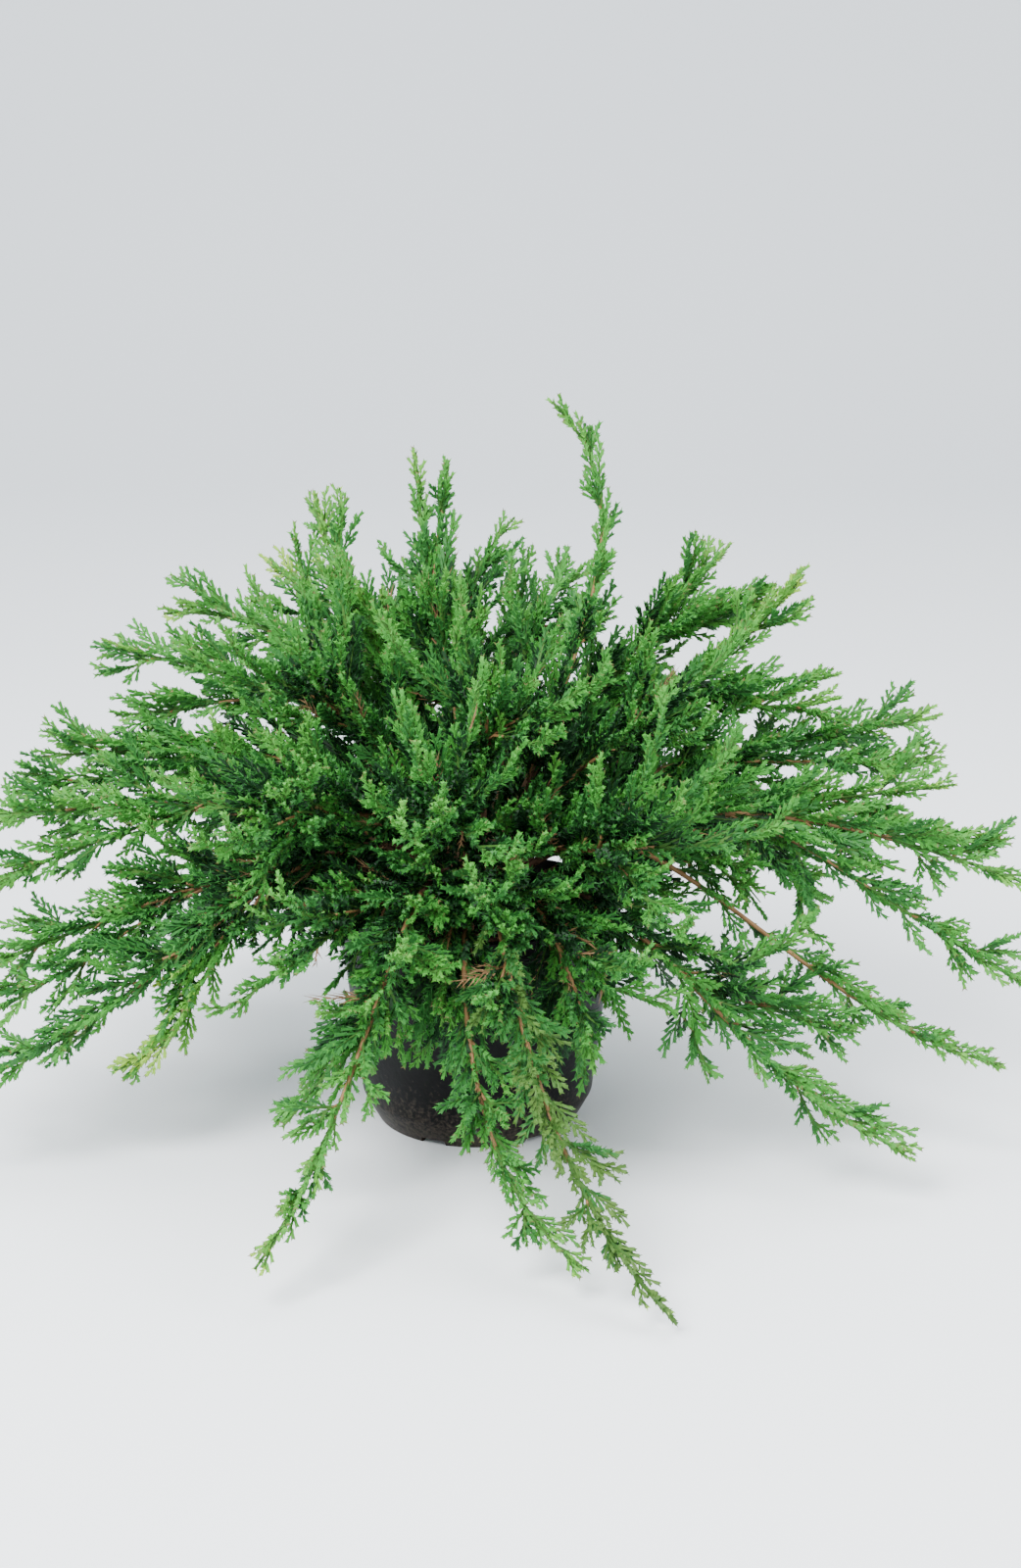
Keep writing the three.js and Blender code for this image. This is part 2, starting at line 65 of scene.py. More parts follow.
def add_node(tree: bpy.types.NodeTree, kind: str, inputs: dict | None = None, **settings) -> bpy.types.Node:
    """Adds a shader node.

    Args:
        tree: The material's node tree.
        kind: The node's type.
        inputs: Values, or other nodes' outputs, by socket name or number.
        **settings: The node's own settings.

    Returns:
        The new node.
    """
    node = tree.nodes.new(kind)
    for name, value in settings.items():
        setattr(node, name, value)
    for name, value in (inputs or {}).items():
        if isinstance(value, bpy.types.NodeSocket):
            tree.links.new(value, node.inputs[name])
        else:
            node.inputs[name].default_value = value
    return node


def patch_scale(size: float) -> float:
    """The noise scale, in patches a metre, that gives patches of a size in millimetres."""
    return 1 / (size * MM)


class Coordinates(Enum):
    """What a finish's pattern follows."""

    OBJECT = "Object"
    ALONG = "UV"


@dataclass(frozen=True)
class Finish:
    """A matt natural finish: two close colours in soft patches over a fine relief.

    Attributes:
        name: The material's name.
        colour: The main colour.
        second: The colour of the patches.
        patch: Size of a patch.
        roughness: Roughness of the surface.
        relief: Height of the relief.
        grain: Size of the relief's grains.
        stretch: How much shorter the pattern is across each axis.
        follows: What the pattern follows.
        specular: Strength of the gloss.
    """

    PATCH_DETAIL = 2.0
    PATCH_EDGES = (0.35, 0.65)
    GRAIN_DETAIL = 3.0
    GRAIN_STRENGTH = 0.8

    name: str
    colour: str
    second: str
    patch: float
    roughness: float
    relief: float = 0.1
    grain: float = 1.0
    stretch: Triple = (1.0, 1.0, 1.0)
    follows: Coordinates = Coordinates.OBJECT
    specular: float = 0.5

    def material(self) -> bpy.types.Material:
        """Builds the material with its nodes.

        Returns:
            The new material.
        """
        made = bpy.data.materials.new(self.name)
        made.use_nodes = True
        tree = made.node_tree
        shader = tree.nodes["Principled BSDF"]
        shader.inputs["Roughness"].default_value = self.roughness
        shader.inputs["Specular IOR Level"].default_value = self.specular
        place = add_node(tree, "ShaderNodeTexCoord")
        turned = add_node(tree, "ShaderNodeMapping", {
            "Vector": place.outputs[self.follows.value], "Scale": self.stretch,
        })
        tree.links.new(self._colours(tree, turned.outputs[0]), shader.inputs["Base Color"])
        grains = add_node(tree, "ShaderNodeTexNoise", {
            "Vector": turned.outputs[0], "Scale": patch_scale(self.grain), "Detail": self.GRAIN_DETAIL,
        })
        bump = add_node(tree, "ShaderNodeBump", {
            "Height": grains.outputs["Fac"], "Distance": self.relief * MM, "Strength": self.GRAIN_STRENGTH,
        })
        tree.links.new(bump.outputs[0], shader.inputs["Normal"])
        return made

    def _colours(self, tree: bpy.types.NodeTree, place: bpy.types.NodeSocket) -> bpy.types.NodeSocket:
        """Deals out the two colours in soft patches.

        Args:
            tree: The material's node tree.
            place: The place that the patches follow.

        Returns:
            The colour's socket.
        """
        patches = add_node(tree, "ShaderNodeTexNoise", {
            "Vector": place, "Scale": patch_scale(self.patch), "Detail": self.PATCH_DETAIL,
        })
        ramp = add_node(tree, "ShaderNodeValToRGB", {"Fac": patches.outputs["Fac"]})
        low, high = ramp.color_ramp.elements
        low.position, high.position = self.PATCH_EDGES
        low.color, high.color = linear(self.colour), linear(self.second)
        return ramp.outputs["Color"]


@dataclass(frozen=True)
class DustyPlastic(Finish):
    """A plastic with dried splashes of soil low on its wall.

    Attributes:
        dust: The dust's colour.
        dust_top: Height at which the splashes run out.
        dust_size: Size of a speck.
        dust_low: How much the specks grow at the foot, as a share of the noise.
        dust_edges: The noise at which a speck starts and at which it is full.
        dust_cover: How much of the plastic a full speck hides.
    """

    SPECK_DETAIL = 5.0
    SPECK_ROUGHNESS = 0.7

    dust: str = "#443c34"
    dust_top: float = 85.0
    dust_size: float = 2.6
    dust_low: float = 0.5
    dust_edges: Span = (0.82, 1.05)
    dust_cover: float = 0.75

    def _colours(self, tree: bpy.types.NodeTree, place: bpy.types.NodeSocket) -> bpy.types.NodeSocket:
        """Lays specks over the plastic's colour, fewer towards the top of the splashes.

        Args:
            tree: The material's node tree.
            place: The place that the specks follow.

        Returns:
            The colour's socket.
        """
        plastic = super()._colours(tree, place)
        height = add_node(tree, "ShaderNodeSeparateXYZ", {"Vector": place}).outputs["Z"]
        splashed = add_node(tree, "ShaderNodeMapRange", {
            "Value": height, "From Min": 0.0, "From Max": self.dust_top * MM,
            "To Min": self.dust_low, "To Max": 0.0,
        })
        specks = add_node(tree, "ShaderNodeTexNoise", {
            "Vector": place, "Scale": patch_scale(self.dust_size),
            "Detail": self.SPECK_DETAIL, "Roughness": self.SPECK_ROUGHNESS,
        })
        total = add_node(tree, "ShaderNodeMath", {0: specks.outputs["Fac"], 1: splashed.outputs[0]},
                         operation="ADD")
        thin, full = self.dust_edges
        shown = add_node(tree, "ShaderNodeMapRange", {
            "Value": total.outputs[0], "From Min": thin, "From Max": full,
            "To Min": 0.0, "To Max": self.dust_cover,
        })
        mixed = add_node(tree, "ShaderNodeMix", {
            "Factor": shown.outputs[0], "A": plastic, "B": linear(self.dust),
        }, data_type="RGBA")
        return mixed.outputs[2]


class Tone(Enum):
    """The finishes of needles, from the oldest to the youngest and then the odd ones; the darker ones also
    hold painted shade and the lighter ones painted light.
    """

    SHADE = 0
    DEEP = 1
    MID = 2
    FRESH = 3
    BRIGHT = 4
    LIME = 5
    OLIVE = 6
    BUD = 7


def needle_finish(name: str, colour: str, second: str) -> Finish:
    """A waxy needle finish with a hardly visible relief."""
    return Finish(name, colour, second, patch=9, roughness=0.55, relief=0.05, grain=1.2, specular=0.2)


# Juniper needles are waxy scales and awls: a soft, dull gloss, with the greens from deep to lime by age.
# The greens also carry painted light and shade: sprays deep in the crown are dealt the darker ones, the
# nearly black one is painted shade, and sprays further out and nearer their tips are dealt lighter ones. The
# youngest tips are yellow-green or budded and brown.
NEEDLES = {
    Tone.SHADE: needle_finish("old_needles_in_shade", "#08260e", "#0d3013"),
    Tone.DEEP: needle_finish("old_needles", "#245b26", "#2b652a"),
    Tone.MID: needle_finish("summer_needles", "#367a2d", "#3e8331"),
    Tone.FRESH: needle_finish("fresh_needles", "#428431", "#4b8f36"),
    Tone.BRIGHT: needle_finish("bright_needles", "#509034", "#5d9b38"),
    Tone.LIME: needle_finish("lime_needles", "#82ae3c", "#90b844"),
    Tone.OLIVE: needle_finish("olive_needles", "#3e6329", "#4b6a2d"),
    Tone.BUD: needle_finish("budded_tips", "#5c6a36", "#68603c"),
}

# Old juniper bark peels in long strips: dull brown streaks that run along the stem, where UVs lead them
BARK = Finish("peeling_juniper_bark", "#4b3628", "#6b523e", patch=1.6, roughness=0.8, relief=0.5,
              grain=0.9, stretch=(1.0, 0.12, 1.0), follows=Coordinates.ALONG, specular=0.25)
# Bark of one or two years is thin and still whole: an orange tan with a little more gloss
YOUNG_BARK = Finish("young_tan_bark", "#6d5031", "#84653f", patch=2.0, roughness=0.62, relief=0.2,
                    grain=0.8, stretch=(1.0, 0.15, 1.0), follows=Coordinates.ALONG, specular=0.35)
# Twigs that died in the shade and shed their needles: pale, dull brown
DRY_TWIG = Finish("dry_bare_twigs", "#8c6f50", "#6e5338", patch=5, roughness=0.8, relief=0.1, specular=0.2)
# This year's stems are green under their scales: the needles' colours, a shade darker
GREEN_STEM = Finish("green_stem", "#2c5220", "#3f6228", patch=6, roughness=0.6, relief=0.05, specular=0.15)
# Thermoformed polypropylene, dyed with soot: satin black with a soft, hardly visible grain
POT_PLASTIC = DustyPlastic("black_polypropylene", "#050505", "#0b0b0c", patch=14, roughness=0.46,
                           relief=0.25, grain=4.0, specular=0.1)
# Moist peat drinks up light: very dark brown, rough and without gloss
PEAT = Finish("moist_peat", "#21160f", "#33241a", patch=5, roughness=0.95, relief=1.2, grain=1.5,
              specular=0.2)
# Composted bark in the peat: lighter brown crumbs with broken faces
CRUMB = Finish("bark_crumbs", "#3a281b", "#5a4231", patch=4, roughness=0.9, relief=0.4, specular=0.2)
# Matt backdrop paper: even and pale, so nothing of it draws the eye
STUDIO_PAPER = Finish("seamless_paper", "#f0f4f8", "#f2f6f9", patch=900, roughness=0.95, relief=0.0,
                      grain=50, specular=0.1)


# Meshes
def unit(vectors: Array) -> Array:
    """Vectors at length one."""
    return vectors / np.linalg.norm(vectors, axis=-1, keepdims=True)


def direction(heading: float | Array, lift: float | Array = 0.0) -> Array:
    """A direction from a heading in the ground plane and a lift above it.

    Args:
        heading: Degrees from +X towards +Y.
        lift: Degrees above level.

    Returns:
        The unit vector.
    """
    turn, rise = np.radians(heading), np.radians(lift)
    level = np.cos(rise)
    return np.stack([np.cos(turn) * level, np.sin(turn) * level, np.sin(rise) + 0 * turn], axis=-1)


def chance(first: float | Array, second: float | Array) -> Array:
    """A repeatable number from 0 to 1 for a pair of whole numbers, as the solids draw it."""
    wave = np.sin(first * 127.1 + second * 311.7 + 17.3) * 43758.5453
    return wave - np.floor(wave)


def wobble(first: float | Array, second: float | Array, width: float) -> Array:
    """A repeatable number within half a width of zero."""
    return width * (chance(first, second) - 0.5)


def between(ends: Span, share: float | Array) -> float | Array:
    """The value at a share of the way from one end to the other."""
    return ends[0] + (ends[1] - ends[0]) * share


def deal_out(count: Array) -> tuple[Array, Array]:
    """Numbers the children of rows that have several each.

    Args:
        count: How many children each row has.

    Returns:
        Each child's row, and its place among that row's children.
    """
    row = np.repeat(np.arange(len(count)), count)
    return row, np.arange(len(row)) - np.repeat(np.cumsum(count) - count, count)


def mesh_piece(name: str, points: Array, triangles: Array, finish: Finish,
               along: Array | None = None, smooth: bool = False) -> bpy.types.Object:
    """Makes one joined mesh from arrays.

    Args:
        name: The piece's name.
        points: Corners, one row each.
        triangles: Corner numbers, one row each.
        finish: Its finish.
        along: UV values for each corner, in metres round and along a stem.
        smooth: Whether its faces are shaded smooth.

    Returns:
        The piece, at the origin.
    """
    mesh = bpy.data.meshes.new(name)
    mesh.vertices.add(len(points))
    mesh.vertices.foreach_set("co", (points * MM).astype(np.float32).ravel())
    mesh.loops.add(triangles.size)
    mesh.loops.foreach_set("vertex_index", triangles.astype(np.int32).ravel())
    mesh.polygons.add(len(triangles))
    mesh.polygons.foreach_set("loop_start", np.arange(0, triangles.size, 3, dtype=np.int32))
    if along is not None:
        layer = mesh.uv_layers.new(name="along")
        layer.data.foreach_set("uv", along[triangles.ravel()].astype(np.float32).ravel())
    mesh.update(calc_edges=True)
    if smooth:
        mesh.shade_smooth()
    else:
        mesh.shade_flat()
    mesh.materials.append(finish.material())
    piece = bpy.data.objects.new(name, mesh)
    bpy.context.scene.collection.objects.link(piece)
    return piece


def place_piece(piece: bpy.types.Object, nodes: list[str]) -> None:
    """Says what a piece rides on and which nodes it stands for.

    Args:
        piece: The piece.
        nodes: The solids that it replaces, if any.
    """
    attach(piece, BODY)
    if nodes:
        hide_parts(*nodes)
    log.info("%s: %d faces", piece.name, len(piece.data.polygons))


@dataclass
class Batch:
    """Closed shapes on their way to one joined mesh."""

    points: list[Array] = field(default_factory=list)
    triangles: list[Array] = field(default_factory=list)
    along: list[Array] = field(default_factory=list)
    count: int = 0

    def add(self, points: Array, triangles: Array, along: Array | None = None) -> None:
        """Adds one shape.

        Args:
            points: Its corners.
            triangles: Its triangles, by corner number.
            along: Its corners' UV values, where it has them.
        """
        self.points.append(points)
        self.triangles.append(triangles + self.count)
        self.along.append(np.zeros((len(points), 2)) if along is None else along)
        self.count += len(points)

    def piece(self, name: str, finish: Finish, smooth: bool = False) -> bpy.types.Object:
        """Joins the shapes into one piece."""
        return mesh_piece(name, np.concatenate(self.points), np.concatenate(self.triangles), finish,
                          np.concatenate(self.along), smooth)


def tube(centres: Array, up: Array, side: Array, radii: Array,
         sides: int) -> tuple[Array, Array, Array]:
    """A closed tube through rings.

    Args:
        centres: The middle of each ring.
        up: Each ring's upper axis.
        side: Each ring's other axis.
        radii: One radius a ring, or one for each corner of each ring.
        sides: Corners of a ring.

    Returns:
        Its corners, triangles and UV values in metres.
    """
    rings = len(centres)
    turn = 2 * np.pi * np.arange(sides) / sides
    radii = np.broadcast_to(radii.reshape(rings, -1), (rings, sides))
    around = up[:, None] * np.cos(turn)[None, :, None] + side[:, None] * np.sin(turn)[None, :, None]
    points = (centres[:, None] + around * radii[:, :, None]).reshape(-1, 3)
    points = np.concatenate([points, centres[:1], centres[-1:]])
    ring, corner = np.meshgrid(np.arange(rings - 1), np.arange(sides), indexing="ij")
    a = (ring * sides + corner).ravel()
    b = (ring * sides + (corner + 1) % sides).ravel()
    c, d = b + sides, a + sides
    walls = np.concatenate([np.stack([a, b, c], 1), np.stack([a, c, d], 1)])
    corners = np.arange(sides)
    following = (corners + 1) % sides
    foot, top = rings * sides, rings * sides + 1
    last = (rings - 1) * sides
    caps = np.concatenate([
        np.stack([following, corners, np.full(sides, foot)], 1),
        np.stack([last + corners, last + following, np.full(sides, top)], 1),
    ])
    run = np.concatenate([[0.0], np.cumsum(np.linalg.norm(np.diff(centres, axis=0), axis=1))])
    around_run = np.abs(np.arange(sides) - sides / 2) * 2 * np.pi * radii.mean() / sides
    along = np.stack(np.broadcast_arrays(around_run[None], run[:, None]), -1).reshape(-1, 2)
    along = np.concatenate([along, [[0.0, 0.0]], [[0.0, run[-1]]]]) * MM
    return points, np.concatenate([walls, caps]), along


# Shoots
class Family(Enum):
    """The colouring of a shoot, with what it adds to its sprays' light."""

    ALL_LIME = 0.7
    LIME = 0.26
    LIGHT = 0.1
    OLIVE = 0.01
    GREEN = 0.0
    # SHADED is painted shade: its needles are dealt darker tones.
    SHADED = -0.22


@dataclass(frozen=True)
class Fork:
    """A second leader: where it leaves the first one, its tip and how it ends.

    Attributes:
        at: Share of the first leader at which it leaves.
        tip: Heading in degrees, reach and height.
        dip: Slope at its tip in degrees.
        hook: Turn at its tip in degrees.
        family: Its colouring, where it isn't the first one's.
    """

    at: float
    tip: Triple
    dip: float
    hook: float
    family: Family | None = None


@dataclass(frozen=True)
class Shoot:
    """One shoot, from its launch at the trunk to its tip.

    Attributes:
        name: Its name in the solids' nodes.
        tip: Heading in degrees, reach and height.
        slopes: Slope at the trunk and at the tip in degrees.
        sweep: How far short of its heading it leaves the trunk, in degrees.
        hook: Turn at its tip in degrees.
        bare: Share of it with no sprays in the solids.
        bough: Whether that share is a bough.
        spread: Length of its longest sprays.
        side: Its second leader.
        family: Its colouring.
        thin: Share of it on which the finer sprays are few.
    """

    name: str
    tip: Triple
    slopes: Span
    spread: float
    sweep: float = 0.0
    hook: float = 0.0
    bare: float = 0.25
    bough: bool = True
    side: Fork | None = None
    family: Family = Family.GREEN
    thin: float = 0.0


SHOOTS = [
    Shoot("left_high", (165, 311, 223), (50, -8), 72, 6, 2, side=Fork(0.42, (170, 322, 205), -10, 6)),
    Shoot("left_out", (176, 350, 190), (36, -10), 67, 2, 2, side=Fork(0.45, (183, 352, 158), -12, 0),
          family=Family.LIGHT),
    Shoot("left_mid", (189, 348, 112), (27, -14), 64, 2, 4, side=Fork(0.45, (195, 352, 90), -14, 0)),
    Shoot("left_foot", (200, 348, 66), (45, -10), 64, 10, -14,
          side=Fork(0.4, (204, 250, 68), -8, -6, Family.ALL_LIME), family=Family.SHADED),
    Shoot("rise_left", (155, 286, 291), (62, 4), 67, side=Fork(0.5, (160, 262, 250), -6, 4)),
    Shoot("arch_left", (144, 272, 305), (52, -10), 69, 8, 14, family=Family.LIGHT),
    Shoot("plume_left", (130, 232, 340), (66, 24), 72, 2, 10, side=Fork(0.42, (126, 190, 391), 70, -10),
          family=Family.LIME),
    Shoot("spire_mid", (110, 122, 426), (80, 82), 44, -4, bare=0.2, bough=False,
          side=Fork(0.62, (100, 113, 421), 70, -20)),
    Shoot("twin_top", (81, 158, 374), (76, 40), 46, 0, -50, bough=False),
    Shoot("lean_right", (66, 238, 330), (60, 12), 69, -4, -44),
    Shoot("whip", (52, 80, 467), (74, 44), 44, 48, 143, bare=0.24),
    Shoot("fan_right", (38, 216, 358), (64, 44), 74, -4, -10, side=Fork(0.6, (28, 225, 330), 20, 0),
          family=Family.LIGHT),
    Shoot("fan_bright", (22, 236, 348), (52, 50), 72, -4, -8, side=Fork(0.55, (15, 250, 270), 24, 0),
          family=Family.LIME),
    Shoot("right_high", (18, 330, 245), (40, 4), 69, 2, side=Fork(0.45, (9, 316, 232), 4, 4)),
    Shoot("right_wide", (3, 316, 222), (28, 6), 64, side=Fork(0.4, (-2, 343, 188), -14, 0),
          family=Family.LIGHT),
    Shoot("right_low", (-5, 368, 165), (40, -20), 64, 4, side=Fork(0.42, (-10, 368, 108), -24, 6)),
    Shoot("right_arch", (-17, 349, 72), (52, -8), 51, 0, 10, bare=0.27, thin=0.6),
    Shoot("right_foot", (-31, 316, 37), (34, -14), 64, 12, 14, side=Fork(0.45, (-22, 262, 92), -8, 6)),
    Shoot("front_long", (-71, 351, 10), (44, -28), 56, 14, 34, bare=0.27, family=Family.OLIVE),
    Shoot("front_green", (-77, 297, 20), (34, -14), 51, 17, 40),
    Shoot("front_left", (-112, 328, 28), (42, -30), 54, 0, -14, side=Fork(0.45, (-123, 213, 62), -20, 0),
          family=Family.LIGHT),
    Shoot("front_drop", (-66, 181, 92), (36, -66), 51, -2, bare=0.3, bough=False),
    Shoot("front_fall", (-97, 162, 120), (52, -50), 50, 6, bare=0.35, bough=False),
    Shoot("face_left", (214, 176, 236), (58, 12), 69, -2, bare=0.3, bough=False),
    Shoot("face_low", (-124, 168, 178), (30, 8), 64, 6, bare=0.3, bough=False),
    Shoot("face_mid", (-100, 120, 250), (60, 50), 64, bare=0.3, bough=False),
    Shoot("face_right", (-48, 150, 226), (54, 40), 64, bare=0.3, bough=False),
    Shoot("face_top", (-82, 66, 322), (76, 70), 60, bare=0.3, bough=False),
    Shoot("crown_left", (166, 110, 300), (76, 70), 64, -4, bough=False),
    Shoot("crown_right", (2, 126, 296), (66, 60), 64, 8, bough=False),
    Shoot("rear_left", (116, 236, 262), (58, 4), 66, bare=0.3, bough=False),
    Shoot("rear_right", (52, 268, 232), (50, 0), 66, -4, bare=0.3, bough=False),
    Shoot("back_right", (50, 320, 150), (38, -20), 69, side=Fork(0.45, (34, 300, 110), -20, -10)),
    Shoot("back_mid", (84, 340, 110), (40, -24), 69, side=Fork(0.45, (68, 320, 70), -24, -6)),
    Shoot("back_left", (118, 320, 140), (44, -20), 69, side=Fork(0.45, (134, 310, 90), -22, 10)),
]


@dataclass(frozen=True)
class Window:
    """A gap in the crown through which the background shows from the front.

    Attributes:
        side: How far to the right of the pot's middle it lies.
        height: Its height there.
        radius: Its radius.
    """

    side: float
    height: float
    radius: float


WINDOWS = (
    Window(47, 293, 8),
    Window(58, 303, 8),
    Window(85, 325, 8),
    Window(97, 334, 7),
    Window(7, 266, 6),
    Window(7, 283, 6),
)


def in_window(points: Array) -> Array:
    """Tells which points lie in a window, seen from the front.

    Args:
        points: The points.

    Returns:
        True for each that does.
    """
    eye = np.array(Studio.camera_place) / MM
    inside = np.zeros(len(points), bool)
    for window in WINDOWS:
        way = unit(np.array([window.side, 0.0, window.height]) - eye)
        offset = points - eye
        away = offset - (offset @ way)[:, None] * way
        inside |= np.linalg.norm(away, axis=1) < window.radius
    return inside


def in_pot(points: Array, radius: float, top: float) -> Array:
    """Tells which points lie in the pot or too near to it.

    Args:
        points: The points.
        radius: The radius that they keep out of.
        top: The height that they keep above inside it.

    Returns:
        True for each that does.
    """
    return (np.hypot(points[:, 0], points[:, 1]) < radius) & (points[:, 2] < top)


class SmoothLine:
    """A cubic curve measured along its length."""

    SAMPLES = 200

    def __init__(self, knots: Array) -> None:
        """Measures the curve.

        Args:
            knots: Its four control points.
        """
        self.knots = knots
        points = self._point(np.linspace(0, 1, self.SAMPLES + 1))
        steps = np.linalg.norm(np.diff(points, axis=0), axis=1)
        self._run = np.concatenate([[0.0], np.cumsum(steps)])
        self.length = float(self._run[-1])

    @classmethod
    def reaching(cls, start: Array, leaving: Array, end: Array,
                 arriving: Array) -> "SmoothLine":
        """A line between two points.

        Args:
            start: The first point.
            leaving: The way to its control point.
            end: The last point.
            arriving: The way from its control point.

        Returns:
            The line.
        """
        return cls(np.stack([start, start + leaving, end - arriving, end]))

    def _point(self, t: Array) -> Array:
        """Finds points on the curve.

        Args:
            t: Their places by the curve's own parameter.

        Returns:
            The points.
        """
        t = t[:, None]
        a, b, c, d = self.knots
        return a * (1 - t) ** 3 + 3 * b * t * (1 - t) ** 2 + 3 * c * t * t * (1 - t) + d * t ** 3

    def at(self, share: Array) -> tuple[Array, Array]:
        """Finds places on the curve.

        Args:
            share: Their shares of the length.

        Returns:
            Points and unit tangents.
        """
        t = np.interp(np.atleast_1d(share) * self.length, self._run,
                      np.linspace(0, 1, self.SAMPLES + 1))
        a, b, c, d = self.knots
        s = t[:, None]
        slope = (b - a) * (1 - s) ** 2 + 2 * (c - b) * s * (1 - s) + (d - c) * s * s
        return self._point(t), unit(slope)


@dataclass
class Trunk:
    """The short stem that all boughs leave, hidden inside the crown."""

    foot: float = 132.3
    top: float = 192.0
    foot_radius: float = 23.0
    neck_radius: float = 16.0
    top_radius: float = 13.5
    flare_top: float = 146.0
    lean: float = 0.03
    lean_heading: float = 35.0
    lowest_bough: float = 146.0
    highest_bough: float = 188.0
    flattest_launch: float = 20.0
    steepest_launch: float = 80.0
    sides: int = 48
    rings: int = 40
    furrows: int = 11
    furrow_depth: float = 0.9
    furrow_mean: float = 0.6
    furrow_flare: float = 1.6
    twist: float = 1.7
    twists: float = 0.13
    unevenness: float = 2.1
    uneven_waves: int = 3
    cut_inset: float = 0.4
    cut_plain: float = 0.7

    def axis(self, height: float) -> Array:
        """The middle of the trunk at a height."""
        return direction(self.lean_heading) * (height - SOIL_TOP) * self.lean + UP * height

    def radius(self, height: float) -> float:
        """Its radius: a root flare that dies out, then an even taper.

        Args:
            height: Where it is taken.

        Returns:
            The radius there.
        """
        if height < self.flare_top:
            share = (self.flare_top - height) / (self.flare_top - SOIL_TOP)
            return self.neck_radius + (self.foot_radius - self.neck_radius) * share * share
        return between((self.neck_radius, self.top_radius),
                       (height - self.flare_top) / (self.top - self.flare_top))

    def start_of(self, shoot: Shoot, gap: float = 0.3) -> Array:
        """Finds where a shoot leaves the bark, steep ones high up.

        Args:
            shoot: The shoot.
            gap: How far clear of the bark it starts.

        Returns:
            The place.
        """
        launch = shoot.slopes[0]
        share = (launch - self.flattest_launch) / (self.steepest_launch - self.flattest_launch)
        height = between((self.lowest_bough, self.highest_bough), share)
        thick = Wood.BOUGH_RADII[0] if shoot.bough else Wood.STEM_RADII[0]
        out = self.radius(height) + gap + thick * math.sin(math.radians(launch))
        return self.axis(height) + direction(shoot.tip[0] - shoot.sweep) * out

    def build(self) -> bpy.types.Object:
        """Extrudes the trunk ring by ring and cuts furrows into it.

        Returns:
            The finished piece.
        """
        circle = add_disc(self.sides, self.radius(self.foot), self.foot)
        last = self.foot
        for height in np.linspace(self.foot, self.top, self.rings)[1:]:
            shift = (self.axis(height) - self.axis(last)) * MM
            bpy.ops.mesh.extrude_region_move(TRANSFORM_OT_translate={"value": shift.tolist()})
            scale = self.radius(height) / self.radius(last)
            bpy.ops.transform.resize(value=(scale, scale, 1))
            last = height
        bpy.ops.mesh.inset(thickness=self.top_radius * self.cut_inset * MM)
        bpy.ops.object.mode_set(mode="OBJECT")
        for corner in circle.data.vertices:
            self._furrow(corner)
        apply_modifier(circle, "SUBSURF", levels=1, render_levels=1)
        finish_piece(circle, "trunk_bark", BARK)
        unwrap_round_stem(circle, self.neck_radius)
        return circle

    def _furrow(self, corner: bpy.types.MeshVertex) -> None:
        """Moves one corner in or out for a strip of peeling bark.

        Args:
            corner: The corner.
        """
        height = corner.co.z / MM
        axis = Vector((self.axis(height) * MM).tolist())
        out = corner.co - axis
        out.z = 0
        if out.length < self.top_radius * self.cut_plain * MM:
            return
        turn = math.atan2(out.y, out.x)
        twist = self.twist * math.sin(height * self.twists)
        wave = math.sin(turn * self.furrows + twist + self.unevenness * math.sin(turn * self.uneven_waves))
        flare = max(0.0, (self.flare_top - height) / (self.flare_top - self.foot))
        depth = self.furrow_depth * (1 + self.furrow_flare * flare)
        corner.co += out.normalized() * (wave - self.furrow_mean) * depth * MM


class Order(Enum):
    """What a leader springs from."""

    MAIN = "trunk or bough"
    SIDE = "first leader of its mass"
    OUTER = "a leader, past the mound"
    INNER = "a leader, inside the mound"


@dataclass
class Leader:
    """One leader with the axes that its sprays stand by.

    Attributes:
        name: Name of its shoot.
        heading: Degrees from +X of the shoot.
        line: Its line.
        order: What it springs from.
        leafy_from: Share of it at which its sprays start.
        spread: Length of its longest sprays.
        seed: Its number for random draws.
        family: Its colouring.
        bare: Share of it that is a bough or a bare stem.
        bough: Whether that share is a bough.
        thin: Share of it on which its sprays are few.
    """

    BACK_LEAN = 0.3

    name: str
    heading: float
    line: SmoothLine
    order: Order
    leafy_from: float
    spread: float
    seed: int
    family: Family
    bare: float = 0.0
    bough: bool = False
    thin: float = 0.0

    def frame_at(self, share: Array) -> tuple[Array, Array, Array, Array]:
        """Finds the axes that sprays stand by.

        Args:
            share: Shares of the length.

        Returns:
            Points, tangents, upper axes and side axes.
        """
        points, along = self.line.at(share)
        upper = UP - self.BACK_LEAN * direction(self.heading)
        up = unit(upper - along * (along @ upper)[:, None])
        return points, along, up, np.cross(along, up)


